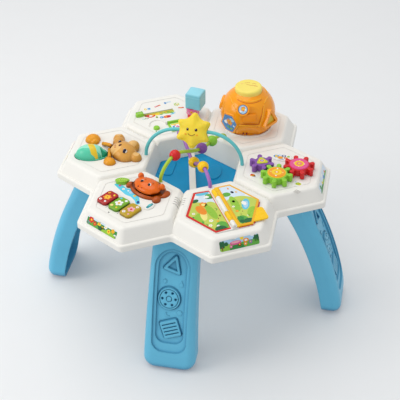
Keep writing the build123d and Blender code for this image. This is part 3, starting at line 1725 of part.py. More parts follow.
with BuildPart() as flap:
    tile_plane = petal_plane(light_angle, flap_lift, (flap_outer + flap_inner) / 2, flap_middle)
    with BuildSketch(tile_plane) as tile:
        Rectangle(flap_outer - flap_inner, flap_width)
        fillet(tile.vertices().group_by(Axis.X)[0], flap_corner)
    extrude(amount=flap_thickness)
    flap_start_plane = petal_plane(light_angle, flap_barrel_height, flap_outer, flap_start)
    along = Vector(0, 1, 0).rotate(Axis.Z, light_angle)
    with BuildSketch(Plane(origin=flap_start_plane.origin, z_dir=along)):
        Circle(flap_barrel)
    extrude(amount=flap_width)
    with BuildSketch(Plane(origin=flap_start_plane.origin, z_dir=along)):
        Circle(flap_pin_radius + play)
    extrude(amount=flap_width, mode=Mode.SUBTRACT)
save(flap.part, "flap")

with BuildPart() as flap_pin:
    pin_reach = gap + lug_thickness
    pin_origin = petal_plane(light_angle, flap_barrel_height, flap_outer, flap_start - pin_reach).origin
    with BuildSketch(Plane(origin=pin_origin, z_dir=Vector(0, 1, 0).rotate(Axis.Z, light_angle))):
        Circle(flap_pin_radius)
    extrude(amount=flap_width + 2 * pin_reach)
save(flap_pin.part, "flap_pin")

lamp_plane = petal_plane(light_angle, 0, lamp_x, lamp_y)
lamp_dome = dome(lamp_plane, 2 * lamp_radius, 2 * lamp_radius, lamp_rise, lamp_edge)
with BuildPart() as lamp:
    add(lamp_dome)
    with BuildSketch(petal_plane(light_angle, -peg_depth, lamp_x, lamp_y)):
        Circle(peg_radius)
    extrude(amount=peg_depth + gap)
save(lamp.part, "lamp")

with BuildPart() as block_post:
    with BuildSketch(petal_plane(light_angle, post_lift, post_x, post_y)):
        Circle(post_base_radius)
    extrude(amount=post_base_rise - post_lift)
    with BuildSketch(petal_plane(light_angle, post_base_rise, post_x, post_y)):
        Circle(post_top_radius - ring_wall)
    extrude(amount=post_top_rise - post_base_rise)
    with BuildSketch(petal_plane(light_angle, post_top_rise, post_x, post_y)):
        Circle(post_peg_radius)
    extrude(amount=post_peg_rise)
    # pivot through the roof with a retaining foot
    with BuildSketch(petal_plane(light_angle, post_lift, post_x, post_y)):
        Circle(post_pivot_radius)
    extrude(amount=-post_lift - wall - gap)
    with BuildSketch(petal_plane(light_angle, -wall - gap, post_x, post_y)):
        Circle(pivot_foot)
    extrude(amount=-flange_thickness)
save(block_post.part, "block_post")

with BuildPart() as post_ring:
    with BuildSketch(petal_plane(light_angle, post_base_rise, post_x, post_y)):
        Circle(post_top_radius)
        Circle(post_top_radius - ring_wall + play, mode=Mode.SUBTRACT)
    extrude(amount=post_top_rise - post_base_rise)
save(post_ring.part, "post_ring")

with BuildPart() as cube_block:
    cube_plane = petal_plane(light_angle, post_top_rise + gap, cube_x, cube_y, cube_turn)
    with BuildSketch(cube_plane) as cube_outline:
        RectangleRounded(cube_side, cube_side, cube_edge / 2)
    extrude(amount=cube_side)
    fillet(cube_block.faces().sort_by(Axis.Z)[-1].edges(), cube_edge / 2 - gap)
    with BuildSketch(petal_plane(light_angle, post_top_rise + gap, post_x, post_y)):
        Circle(post_peg_radius + gap)
    extrude(amount=post_peg_rise, mode=Mode.SUBTRACT)
save(cube_block.part, "cube_block")

# ------------------------------------------------------------ bead maze
wire_start = body_height - socket_depth
wire_bend = body_height + wire_stand


def tube(path, foot):
    """Round tube along a path that leaves its foot straight up."""
    with BuildPart() as bar:
        with BuildSketch(Plane(origin=foot, z_dir=(0, 0, 1))):
            Circle(tube_radius)
        sweep(path=path)
    return bar.part


with BuildLine(Plane.XZ) as arch_line:
    FilletPolyline(
        (-wire_foot, rim_z + wire_start),
        (-wire_foot, rim_z + arch_level),
        (wire_foot, rim_z + arch_level),
        (wire_foot, rim_z + wire_start),
        radius=arch_bend,
    )
arch_path = arch_line.wire()
with BuildPart() as arch_wire:
    add(tube(arch_path, (-wire_foot, 0, rim_z + wire_start)))
save(arch_wire.part, "arch_wire")


def maze_path(angle, points):
    """Smooth bend between two sockets in an upright plane through the table's middle."""
    heading = Vector(1, 0, 0).rotate(Axis.Z, angle)
    bend_level = rim_z + wire_bend
    through = [(reach, rim_z + level) for reach, level in points]
    with BuildLine(Plane(origin=(0, 0, 0), x_dir=heading, z_dir=heading.cross(Vector(0, 0, 1)))) as line:
        Spline(
            (-wire_foot, bend_level), *through, (wire_foot, bend_level),
            tangents=((0, 1), (0, -1)), tangent_scalars=(1, 1),
        )
    return line.wire()


def maze_wire(path):
    """Bent tube with a straight foot down into the socket at each end."""
    with BuildPart() as bar:
        add(tube(path, path @ 0))
        for foot in (path @ 0, path @ 1):
            with BuildSketch(Plane(origin=(foot.X, foot.Y, rim_z + wire_start))):
                Circle(tube_radius)
            extrude(amount=wire_bend - wire_start)
    return bar.part


green_path = maze_path(green_plane, (green_first, green_top, green_slope, green_low, green_second))
purple_path = maze_path(
    purple_plane, (purple_first, purple_top, purple_slope, purple_low, purple_second, purple_last)
)

with BuildPart() as green_wire:
    add(maze_wire(green_path))
save(green_wire.part, "green_wire")

with BuildPart() as purple_wire:
    add(maze_wire(purple_path))
save(purple_wire.part, "purple_wire")


def bead_plane(path, place):
    """Plane square to the wire at a share of its length, set toward the bend's inside."""
    step = bead_radius / path.length
    ahead = path @ (place + step)
    behind = path @ (place - step)
    middle = (path @ place + (ahead + behind) * midway) * midway
    return Plane(origin=middle, z_dir=ahead - behind)


def bead(path, place):
    plane = bead_plane(path, place)
    with BuildPart() as ball:
        with Locations(plane.origin):
            Sphere(bead_radius)
        with BuildSketch(plane):
            Circle(bead_bore)
        extrude(amount=deep, both=True, mode=Mode.SUBTRACT)
    return ball.part


with BuildPart() as bead_red:
    add(bead(green_path, red_bead_place))
save(bead_red.part, "bead_red")

with BuildPart() as bead_violet:
    add(bead(green_path, violet_bead_place))
save(bead_violet.part, "bead_violet")

with BuildPart() as bead_lime:
    add(bead(green_path, lime_bead_place))
save(bead_lime.part, "bead_lime")

with BuildPart() as bead_yellow_front:
    add(bead(purple_path, front_bead_place))
save(bead_yellow_front.part, "bead_yellow_front")

with BuildPart() as bead_yellow_back:
    add(bead(purple_path, back_bead_place))
save(bead_yellow_back.part, "bead_yellow_back")

# star that spins on the arch
star_normal = Vector(0, -1, 0).rotate(Axis.X, -star_lean)
star_centre = Vector(0, 0, rim_z + arch_level)
star_plane = Plane(origin=star_centre, x_dir=(1, 0, 0), z_dir=star_normal)
with BuildPart() as star:
    with BuildSketch(star_plane) as star_outline:
        with BuildLine():
            corners = []
            for place in range(2 * star_points):
                reach = star_short if place % 2 else star_long
                turn = math.radians(90 + place * 180 / star_points)
                corners.append((reach * math.cos(turn), reach * math.sin(turn)))
            Polyline(*corners, close=True)
        make_face()
        fillet(star_outline.vertices(), star_tip)
    extrude(amount=star_thickness / 2, both=True)
    front_and_back = star.faces().filter_by(star_plane)
    fillet(front_and_back.edges(), star_edge)
    with BuildSketch(Plane(origin=star_centre, z_dir=(1, 0, 0))):
        Circle(tube_radius + play)
    extrude(amount=deep, both=True, mode=Mode.SUBTRACT)
save(star.part, "star")
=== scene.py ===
from math import atan2, cos, dist, hypot, pi, radians, remainder, sin, sqrt

import bmesh
import bpy
from mathutils import Matrix, Vector


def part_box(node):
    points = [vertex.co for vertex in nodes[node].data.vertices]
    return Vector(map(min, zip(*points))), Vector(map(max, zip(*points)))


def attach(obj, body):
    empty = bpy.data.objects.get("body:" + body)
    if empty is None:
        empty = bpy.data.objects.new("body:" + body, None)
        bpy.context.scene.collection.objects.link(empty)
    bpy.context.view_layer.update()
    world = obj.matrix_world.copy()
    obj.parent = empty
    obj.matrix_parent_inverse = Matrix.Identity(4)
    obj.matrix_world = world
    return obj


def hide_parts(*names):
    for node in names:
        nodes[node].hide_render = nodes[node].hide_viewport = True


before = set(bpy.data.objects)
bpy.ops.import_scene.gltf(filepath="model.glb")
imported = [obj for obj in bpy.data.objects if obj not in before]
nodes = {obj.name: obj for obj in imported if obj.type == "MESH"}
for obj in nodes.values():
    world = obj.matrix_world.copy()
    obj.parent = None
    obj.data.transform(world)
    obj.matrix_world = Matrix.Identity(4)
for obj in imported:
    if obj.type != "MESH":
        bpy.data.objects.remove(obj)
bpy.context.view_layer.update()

# ---- driving sizes, mm and degrees
MM = 0.001
HEX_SIDE = 106
PETAL_PITCH = HEX_SIDE * sqrt(3)
TOP = 350
RIM_Z = 308
RIM_HEIGHT = 14
WALL_RUN = 15
WALL_RISE = 28
WALL_FOOT = 9
BOOK, GEARS, BALL, LIGHTS, BEAR, KEYS = -60, 0, 60, 120, 180, 240
BOOK_TOP = 1.4
PAGE_TOP = 5.0
KEY_TOP = 6
GEAR_TOP = 16.7
CAP_TOP = 18.3
BALL_RISE = 36
PRINT_SEAT = 0.04
PRINT_BASE = 0.22
PRINT_STEP = 0.05


# ---- places
SCALE = Matrix.Scale(MM, 4)
OUTWARD = Matrix(((0, 0, 1, 0), (1, 0, 0, 0), (0, 1, 0, 0), (0, 0, 0, 1)))


def shift(x, y=0, z=0):
    return Matrix.Translation((x, y, z))


def turn_z(degrees, size=4):
    return Matrix.Rotation(radians(degrees), size, "Z")


def facing(out, right):
    """Axes with x to the right, y up and z outward."""
    return Matrix((right, out.cross(right), out)).transposed().to_4x4()


def petal(angle, x=0, y=0, height=0, turn=0):
    """Millimetres on a petal's top (x outward, y counter-clockwise) to metres."""
    return SCALE @ shift(0, 0, TOP + height) @ turn_z(angle) @ shift(PETAL_PITCH + x, y) @ turn_z(turn)


def petal_wall(angle):
    """A petal's sloping outer wall: x along it, y up it, z out of it."""
    reach = HEX_SIDE * sqrt(3) / 2 + WALL_FOOT
    lean = Matrix.Rotation(-atan2(WALL_RUN, WALL_RISE), 4, "X")
    return petal(angle) @ shift(reach, 0, RIM_Z + RIM_HEIGHT - TOP) @ OUTWARD @ lean


BALL_CENTRE = petal(BALL, height=BALL_RISE) @ Vector((0, 0, 0))


def on_ball(azimuth, elevation, radius=1):
    """Offset from the ball's centre."""
    az, el = radians(azimuth), radians(elevation)
    reach = radius * cos(el)
    return Vector((reach * cos(az), reach * sin(az), radius * sin(el)))


def ball_place(azimuth, elevation, distance):
    """Facing out of the ball: x level to the right, y up, z outward."""
    out = on_ball(azimuth, elevation)
    az = radians(azimuth)
    level = Vector((-sin(az), cos(az), 0))
    return Matrix.Translation(BALL_CENTRE + out * distance * MM) @ facing(out, level) @ SCALE


def on_top(node, turn):
    """The middle of a node's top, in millimetres."""
    low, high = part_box(node)
    return shift((low[0] + high[0]) / 2, (low[1] + high[1]) / 2, high[2]) @ turn_z(turn) @ SCALE


# ---- materials
SHEEN = 0.28
COAT_SHARE = 0.35
made = {}


def linear(value):
    share = value / 255
    return share / 12.92 if share <= 0.04045 else ((share + 0.055) / 1.055) ** 2.4


def tone(colour, gain=1.0):
    return tuple(min(1.0, linear(c) * gain) for c in colour) + (1.0,)


def feed(node, values):
    """Sets a shader node's inputs: a socket is linked, anything else is the value itself."""
    for key, value in values.items():
        if isinstance(value, bpy.types.NodeSocket):
            node.id_data.links.new(value, node.inputs[key])
        else:
            node.inputs[key].default_value = value
    return node


def grow(tree, kind, values):
    return feed(tree.nodes.new("ShaderNode" + kind), values)


def colour_mix(tree, values, blend="MIX"):
    mix = tree.nodes.new("ShaderNodeMix")
    mix.data_type = "RGBA"
    mix.blend_type = blend
    return feed(mix, values).outputs["Result"]


def plastic(name, colour, rough=0.32, drift=0.05, grain=0.03, bump=0.15, coat=0.0, soft=0.0):
    """Moulded plastic: slight tone drift, fine speckle, uneven gloss and an eggshell micro-bump."""
    if name in made:
        return made[name]
    material = bpy.data.materials.new(name)
    material.use_nodes = True
    tree = material.node_tree
    shader = tree.nodes["Principled BSDF"]
    place = tree.nodes.new("ShaderNodeTexCoord").outputs["Object"]

    def noise(scale, detail):
        return grow(tree, "TexNoise", {"Vector": place, "Scale": scale, "Detail": detail}).outputs["Fac"]

    def ramp(source, low, high):
        node = grow(tree, "ValToRGB", {"Fac": source})
        for element, position, shade in zip(node.color_ramp.elements, (0.3, 0.7), (low, high)):
            element.position = position
            element.color = shade
        return node.outputs["Color"]

    broad = ramp(noise(14, 3), tone(colour, 1 - drift), tone(colour, 1 + drift))
    fine = ramp(noise(900, 2), (1 - grain, 1 - grain, 1 - grain, 1), (1, 1, 1, 1))
    gloss = grow(tree, "MapRange", {
        "To Min": max(0.05, rough - 0.06), "To Max": rough + 0.06, "Value": noise(60, 4),
    })
    relief = grow(tree, "Bump", {"Strength": bump, "Distance": 0.0002, "Height": noise(700, 2)})
    feed(shader, {
        "Base Color": colour_mix(tree, {"Factor": 1.0, "A": broad, "B": fine}, "MULTIPLY"),
        "Roughness": gloss.outputs["Result"], "Normal": relief.outputs["Normal"],
        "Specular IOR Level": SHEEN,
    })
    if coat:
        feed(shader, {"Coat Weight": coat * COAT_SHARE, "Coat Roughness": 0.12})
    if soft:
        feed(shader, {
            "Subsurface Weight": soft, "Subsurface Scale": 0.004, "Subsurface Radius": (1.0, 0.6, 0.3),
        })
    made[name] = material
    return material


def metal(name, colour, rough=0.3):
    material = plastic(name, colour, rough, 0.08, 0.06, 0.1)
    feed(material.node_tree.nodes["Principled BSDF"], {"Metallic": 1.0})
    return material


def soften(material, radius, shade=None, reach=0.014):
    """Rounds the look of every edge of a moulded part, with a little shade in its inner corners."""
    tree = material.node_tree
    edge = grow(tree, "Bevel", {"Radius": radius})
    edge.samples = 6
    relief = next(n for n in tree.nodes if n.type == "BUMP")
    feed(relief, {"Normal": edge.outputs["Normal"]})
    if shade:
        hollow = grow(tree, "AmbientOcclusion", {"Distance": reach})
        hollow.samples = 8
        plain = next(n for n in tree.nodes if n.type == "MIX").outputs["Result"]
        shaded = colour_mix(tree, {"Factor": hollow.outputs["AO"], "A": tone(shade), "B": plain})
        feed(tree.nodes["Principled BSDF"], {"Base Color": shaded})


INKS = {
    "white": (246, 246, 243), "sky": (176, 214, 240), "pale_sky": (214, 230, 244), "blue": (70, 140, 205),
    "deep_blue": (34, 74, 140), "aqua": (96, 198, 226), "meadow": (196, 212, 92), "lime": (150, 200, 62),
    "leaf": (96, 172, 66), "green": (52, 142, 66), "dark_green": (36, 104, 60), "yellow": (250, 214, 48),
    "pale_yellow": (248, 232, 140), "gold": (240, 178, 36), "orange": (243, 146, 40), "red": (214, 44, 38),
    "dark_red": (140, 26, 24), "pink": (226, 88, 150), "pale_pink": (244, 176, 186),
    "violet": (146, 104, 176), "brown": (132, 84, 44), "tan": (228, 190, 138), "black": (34, 28, 34),
    "grey": (190, 192, 194),
}


def ink(key):
    """Glossy printed vinyl."""
    return plastic("print_" + key, INKS[key], 0.28, 0.06, 0.07, 0.05, coat=0.3)


# ---- outlines, mm
def moved(points, x, y, turn=0):
    cos_t, sin_t = cos(radians(turn)), sin(radians(turn))
    return [(x + px * cos_t - py * sin_t, y + px * sin_t + py * cos_t) for px, py in points]


def ellipse(x, y, rx, ry=None, turn=0, count=28):
    ry = rx if ry is None else ry
    angles = [radians(360 * k / count) for k in range(count)]
    return moved([(rx * cos(a), ry * sin(a)) for a in angles], x, y, turn)


def hexagon(radius):
    return ellipse(0, 0, radius, turn=30, count=6)


def flower(x, y, radius, petals=5, depth=0.28, count=60):
    points = []
    for k in range(count):
        a = 2 * pi * k / count
        reach = radius * (1 - depth + depth * abs(cos(petals * a / 2)))
        points.append((x + reach * cos(a), y + reach * sin(a)))
    return points


def star_shape(long, short, tips):
    """Star with a tip upward."""
    points = []
    for k in range(2 * tips):
        reach = short if k % 2 else long
        a = radians(90 + 180 * k / tips)
        points.append((reach * cos(a), reach * sin(a)))
    return points


def blunted(outline):
    """The outline with each corner cut off at a quarter of its sides."""
    points = []
    for a, b in zip(outline, outline[1:] + outline[:1]):
        points.append((a[0] * 0.75 + b[0] * 0.25, a[1] * 0.75 + b[1] * 0.25))
        points.append((a[0] * 0.25 + b[0] * 0.75, a[1] * 0.25 + b[1] * 0.75))
    return points


def rounded(x, y, length, width, corner, count=6):
    points = []
    for sx, sy, first in ((1, 1, 0), (-1, 1, 90), (-1, -1, 180), (1, -1, 270)):
        cx, cy = sx * (length / 2 - corner), sy * (width / 2 - corner)
        for k in range(count + 1):
            a = radians(first + 90 * k / count)
            points.append((cx + corner * cos(a), cy + corner * sin(a)))
    return moved(points, x, y)


def hill(x, y, width, height, base, count=16):
    """A rounded mound standing on the line y = base."""
    points = [(x - width / 2, base), (x + width / 2, base)]
    for k in range(count + 1):
        a = pi * k / count
        points.append((x + width / 2 * cos(a), y + height * sin(a)))
    return points


def stroke(points, width):
    """Ribbon of even width along a line of points."""
    left, right = [], []
    for k, (x, y) in enumerate(points):
        ax, ay = points[max(0, k - 1)]
        bx, by = points[min(len(points) - 1, k + 1)]
        size = hypot(bx - ax, by - ay)
        nx, ny = -(by - ay) / size * width / 2, (bx - ax) / size * width / 2
        left.append((x + nx, y + ny))
        right.append((x - nx, y - ny))
    return left + right[::-1]


def clipped(subject, window):
    """Sutherland-Hodgman: the part of an outline inside a convex window."""
    def cross(a, b, p):
        return (b[0] - a[0]) * (p[1] - a[1]) - (b[1] - a[1]) * (p[0] - a[0])

    if sum(a[0] * b[1] - b[0] * a[1] for a, b in zip(window, window[1:] + window[:1])) < 0:
        window = window[::-1]
    shape = list(subject)
    for a, b in zip(window, window[1:] + window[:1]):
        fresh = []
        for p, q in zip(shape, shape[1:] + shape[:1]):
            side_p, side_q = cross(a, b, p), cross(a, b, q)
            if side_p >= 0:
                fresh.append(p)
            if (side_p > 0 > side_q) or (side_p < 0 < side_q):
                t = side_p / (side_p - side_q)
                fresh.append((p[0] + (q[0] - p[0]) * t, p[1] + (q[1] - p[1]) * t))
        shape = fresh
    clean = [p for k, p in enumerate(shape) if dist(p, shape[k - 1]) > 0.01]
    return clean if len(clean) >= 3 else []


# ---- artwork: an ink and an outline for each layer
def art(*rows):
    """Layers from rows: an ink with an outline or an ellipse, or two inks for a flower and its heart."""
    layers = []
    for key, first, *rest in rows:
        if isinstance(first, str):
            x, y, radius, middle, *form = rest
            layers += [(key, flower(x, y, radius, *form)), (first, ellipse(x, y, middle))]
        else:
            layers.append((key, first if isinstance(first, list) else ellipse(first, *rest)))
    return layers


def cloud(x, y, size):
    """A white cloud of four lumps."""
    lumps = ((0, 0, 1), (0.9, -0.1, 0.7), (-0.9, -0.15, 0.65), (0.35, 0.45, 0.7))
    middles = moved([(dx * size, dy * size) for dx, dy, _ in lumps], x, y, 90)
    sizes = [share * size for _, _, share in lumps]
    return art(*(("white", *spot, reach, reach * 0.8) for spot, reach in zip(middles, sizes)))


# ---- mesh pieces
def mesh_of(name, shape):
    """A finished bmesh as mesh data."""
    data = bpy.data.meshes.new(name)
    shape.to_mesh(data)
    shape.free()
    return data


def put_in(name, data):
    """A new object in the scene."""
    thing = bpy.data.objects.new(name, data)
    bpy.context.scene.collection.objects.link(thing)
    return thing


class Piece:
    """One object made of closed slabs, domes and sweeps with several materials."""

    def __init__(self, name, body, place):
        self.name = name
        self.body = body
        self.place = place
        self.mesh = bmesh.new()
        self.materials = []

    def ring(self, points):
        return [self.mesh.verts.new(self.place @ Vector(p)) for p in points]

    def skin(self, loops, material, smooth=True, tip=None):
        """Closes rings of points into a solid that ends in a flat face, or in a tip."""
        if material not in self.materials:
            self.materials.append(material)
        new = self.mesh.faces.new
        faces = [] if tip else [new(loops[-1])]
        faces.append(new(loops[0][::-1]))
        for low_ring, high_ring in zip(loops, loops[1:]):
            for k in range(len(low_ring)):
                j = (k + 1) % len(low_ring)
                faces.append(new((low_ring[k], low_ring[j], high_ring[j], high_ring[k])))
        if tip:
            last = loops[-1]
            faces += [new((a, b, tip)) for a, b in zip(last, last[1:] + last[:1])]
        for face in faces:
            face.material_index = self.materials.index(material)
            face.smooth = smooth

    def slab(self, outline, material, low, high):
        loops = [self.ring([(x, y, level) for x, y in outline]) for level in (low, high)]
        self.skin(loops, material, smooth=False)

    def pillow(self, outline, material, low, high, edge, steps=4):
        """Slab with a rounded top edge."""
        middle = Vector((sum(p[0] for p in outline), sum(p[1] for p in outline))) / len(outline)
        size = max((Vector(p) - middle).length for p in outline)
        rings = [(1.0, low)]
        for k in range(steps + 1):
            a = pi / 2 * k / steps
            rings.append((1 - edge * (1 - cos(a)) / size, high - edge + edge * sin(a)))
        loops = []
        for share, level in rings:
            loops.append(self.ring([(*(middle + (Vector(p) - middle) * share), level) for p in outline]))
        self.skin(loops, material)

    def dome(self, x, y, rx, ry, material, low, high, turn=0, rings=8):
        """Rounded button: half an ellipsoid on a flat base."""
        loops = []
        for k in range(rings):
            a = pi / 2 * k / rings
            outline = ellipse(x, y, rx * cos(a), ry * cos(a), turn)
            loops.append(self.ring([(px, py, low + (high - low) * sin(a)) for px, py in outline]))
        self.skin(loops, material, tip=self.ring([(x, y, high)])[0])

    def puff(self, outline, material, low, level, steps=10):
        """Cushion: the outline drawn in to its middle over the level that each share of it has."""
        loops = [self.ring([(x, y, low) for x, y in outline])]
        for k in range(steps):
            share = cos(pi / 2 * k / steps)
            loops.append(self.ring([(x * share, y * share, level(share)) for x, y in outline]))
        self.skin(loops, material)

    def rope(self, points, radius, material, sides=8):
        """Round bead of plastic along a line of points."""
        path = [Vector(p) for p in points]
        loops = []
        side = Vector((0, 0, 1))
        for k, p in enumerate(path):
            along = (path[min(len(path) - 1, k + 1)] - path[max(0, k - 1)]).normalized()
            side = side - along * side.dot(along)
            side = side.normalized() if side.length > 1e-6 else along.orthogonal().normalized()
            other = along.cross(side)
            angles = [2 * pi * j / sides for j in range(sides)]
            loops.append(self.ring([p + (side * cos(a) + other * sin(a)) * radius for a in angles]))
        self.skin(loops, material)

    def lathe_x(self, radii, z, material, sides=24):
        """Turned form round a line along x at height z: (x, radius) pairs."""
        angles = [2 * pi * j / sides for j in range(sides)]
        loops = []
        for x, radius in radii:
            loops.append(self.ring([(x, radius * cos(a), z + radius * sin(a)) for a in angles]))
        self.skin(loops, material)

    def patch(self, azimuths, elevations, low, high, material, steps=14):
        """Panel lying on a ball, thick from one radius to another."""
        edge = []
        for side in range(4):
            for k in range(steps):
                u = (k / steps, 1, 1 - k / steps, 0)[side]
                v = (0, k / steps, 1, 1 - k / steps)[side]
                edge.append((u - 0.5, v - 0.5))
        loops = []
        middle = (low + high) / 2
        for share, radius in ((1, low), (1, middle), (0.97, high), (0.6, high), (0.3, high), (0.05, high)):
            loop = []
            for u, v in edge:
                az = azimuths[0] + (azimuths[1] - azimuths[0]) * (0.5 + u * share)
                el = elevations[0] + (elevations[1] - elevations[0]) * (0.5 + v * share)
                loop.append(on_ball(az, el, radius))
            loops.append(self.ring(loop))
        self.skin(loops, material)

    def layers(self, rows, height_of):
        for number, (key, outline) in enumerate(rows):
            self.slab(outline, ink(key), PRINT_SEAT, height_of(number))

    def done(self):
        bmesh.ops.recalc_face_normals(self.mesh, faces=self.mesh.faces)
        thing = put_in(self.name, mesh_of(self.name, self.mesh))
        for material in self.materials:
            thing.data.materials.append(material)
        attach(thing, self.body)
        return thing


def sticker(name, body, place, base, rows, ground="white"):
    """Printed vinyl: a convex base outline and shapes clipped to it, each a thin layer."""
    piece = Piece(name, body, place)
    piece.slab(base, ink(ground), PRINT_SEAT, PRINT_BASE)
    for number, (key, outline) in enumerate(rows):
        shape = clipped(outline, base)
        if shape:
            height = PRINT_BASE + PRINT_STEP * (1 + number % 9) * 0.5
            piece.slab(shape, ink(key), PRINT_SEAT, height)
    return piece.done()


def printed(name, body, place, rows):
    """Loose printed shapes, straight on the plastic."""
    piece = Piece(name, body, place)
    piece.layers(rows, lambda number: PRINT_BASE * 0.5 + PRINT_STEP * (number % 9) * 0.5)
    return piece.done()


def blob(name, body, lumps, material_of, place, floor, voxel=0.8, smooth=5, dent=None):
    """Moulded organic form: ellipsoids joined, remeshed, smoothed and cut flat at its base."""
    shape = bmesh.new()
    for x, y, z, rx, ry, rz, turn in lumps:
        local = shift(x, y, z) @ turn_z(turn) @ Matrix.Diagonal((rx, ry, rz, 1))
        bmesh.ops.create_icosphere(shape, subdivisions=4, radius=1, matrix=local)
    thing = put_in(name, mesh_of(name, shape))
    remesh = thing.modifiers.new("remesh", "REMESH")
    remesh.mode = "VOXEL"
    remesh.voxel_size = voxel
    relax = thing.modifiers.new("relax", "SMOOTH")
    relax.iterations = smooth
    relax.factor = 0.5
    bpy.context.view_layer.update()
    baked = bpy.data.meshes.new_from_object(thing.evaluated_get(bpy.context.evaluated_depsgraph_get()))
    thing.modifiers.clear()
    thing.data = baked
    shape = bmesh.new()
    shape.from_mesh(baked)
    if dent:
        for vertex in shape.verts:
            dent(vertex.co)
    cut = bmesh.ops.bisect_plane(
        shape, geom=shape.verts[:] + shape.edges[:] + shape.faces[:], plane_co=(0, 0, floor),
        plane_no=(0, 0, -1), clear_outer=True
    )
    rim = [e for e in cut["geom_cut"] if isinstance(e, bmesh.types.BMEdge)]
    bmesh.ops.contextual_create(shape, geom=rim)
    materials = []
    for face in shape.faces:
        material = material_of(face.calc_center_median())
        if material not in materials:
            materials.append(material)
        face.material_index = materials.index(material)
        face.smooth = True
    shape.transform(place)
    bmesh.ops.recalc_face_normals(shape, faces=shape.faces)
    shape.to_mesh(baked)
    shape.free()
    for material in materials:
        baked.materials.append(material)
    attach(thing, body)
    return thing


# ---- carried-over CAD nodes
def dress(material, *names):
    for name in names:
        data = nodes[name].data
        data.materials.clear()
        data.materials.append(material)


shell = plastic("shell_white", (240, 238, 232), 0.34, 0.012, 0.015, 0.1)
leg_blue = plastic("leg_sky_blue", (104, 190, 224), 0.36, 0.03, 0.02, 0.12)
tray = plastic("tray_deep_blue", (0, 146, 200), 0.4, 0.06, 0.04, 0.25)
violet = plastic("violet", (134, 84, 168), 0.26, coat=0.3)
yellow = plastic("warm_yellow", (252, 200, 20), 0.28, coat=0.3)
star_yellow = plastic("star_yellow", (244, 216, 62), 0.36, 0.04, soft=0.25)
red = plastic("glossy_red", (212, 34, 34), 0.22, coat=0.4)
green = plastic("gear_green", (142, 204, 60), 0.28, coat=0.3)
orange = plastic("ball_orange", (255, 160, 4), 0.2, 0.04, coat=1.0)
key_red = plastic("key_red", (176, 30, 26), 0.16, 0.1, coat=0.6)
key_green = plastic("key_green", (122, 176, 34), 0.16, 0.1, coat=0.6)
key_yellow = plastic("key_yellow", (190, 158, 28), 0.16, 0.1, coat=0.6)
mint = plastic("bear_mint", (92, 208, 172), 0.24, 0.05, coat=0.4)
tan = plastic("bear_tan", (218, 158, 70), 0.3, 0.05, coat=0.4)
amber = plastic("bear_amber", (232, 156, 28), 0.28, 0.04, coat=0.3)
hippo_orange = plastic("hippo_orange", (232, 104, 6), 0.2, 0.05, coat=0.6)
hippo_brown = plastic("hippo_brown", (178, 80, 14), 0.22, 0.06, coat=0.5)
groove_shadow = plastic("groove_shadow", (176, 172, 166), 0.6)

dress(shell, "top_shell", "book_panel")
dress(plastic("cover_white", (228, 226, 220), 0.5, 0.02, 0.03, 0.2), "bottom_cover", "battery_door")
dress(leg_blue, "leg_front", "leg_back", "leg_left", "leg_right")
dress(tray, "basin_tray")
dress(metal("steel", (190, 190, 192)), "cover_screws", "battery_door_screw", "spine_pin")
dress(metal("contact_plate", (206, 190, 150)), "battery_contacts")
dress(yellow, "book_page", "bead_yellow_front", "bead_yellow_back")
dress(green, "gear_green", "flap", "lamp", "bead_lime", "slider_knob", "leaf_button")
dress(red, "gear_red", "block_post", "bead_red")
dress(violet, "gear_purple", "bead_violet")
dress(orange, "ball_shell")
dress(star_yellow, "star")
dress(key_red, "key_red")
dress(key_green, "key_green")
dress(key_yellow, "key_yellow")
dress(mint, "bear_body")
dress(tan, "bear_head")
dress(amber, "bear_foot", "bear_hand")
dress(hippo_orange, "hippo_head")
dress(hippo_brown, "hippo_body")
for name, colour, rough, *names in (
    ("cell_wrap", (56, 70, 88), 0.35, "batteries"),
    ("board_green", (28, 92, 52), 0.4, "circuit_board"),
    ("speaker_black", (30, 30, 32), 0.6, "speaker"),
    ("rubber_grey", (110, 112, 116), 0.7, "key_switch_mat"),
    ("axle_white", (222, 220, 214), 0.4, "gear_axles"),
    ("gear_cap_orange", (245, 160, 44), 0.3, "gear_cap_green"),
    ("gear_cap_pink", (228, 88, 148), 0.3, "gear_cap_red"),
    ("gear_cap_lime", (192, 200, 62), 0.3, "gear_cap_purple"),
    ("cap_yellow", (246, 226, 112), 0.34, "ball_cap"),
    ("pane_yellow", (226, 200, 60), 0.3, "ball_window"),
    ("wire_teal", (104, 200, 204), 0.3, "arch_wire", "power_switch"),
    ("wire_lime", (176, 206, 60), 0.3, "green_wire"),
    ("wire_violet", (166, 112, 190), 0.3, "purple_wire"),
    ("cube_blue", (134, 206, 224), 0.34, "cube_block"),
    ("post_ring_pink", (224, 110, 160), 0.3, "post_ring"),
    ("rod_blue", (60, 130, 190), 0.3, "flap_pin"),
    ("track_yellow", (222, 218, 70), 0.35, "slider_track"),
):
    dress(plastic(name, colour, rough), *names)


# ---- book
def half_page(radius, start):
    """What a hexagonal page shows beyond the spine."""
    return clipped(hexagon(radius), [(-90, start), (90, start), (90, 90), (-90, 90)])


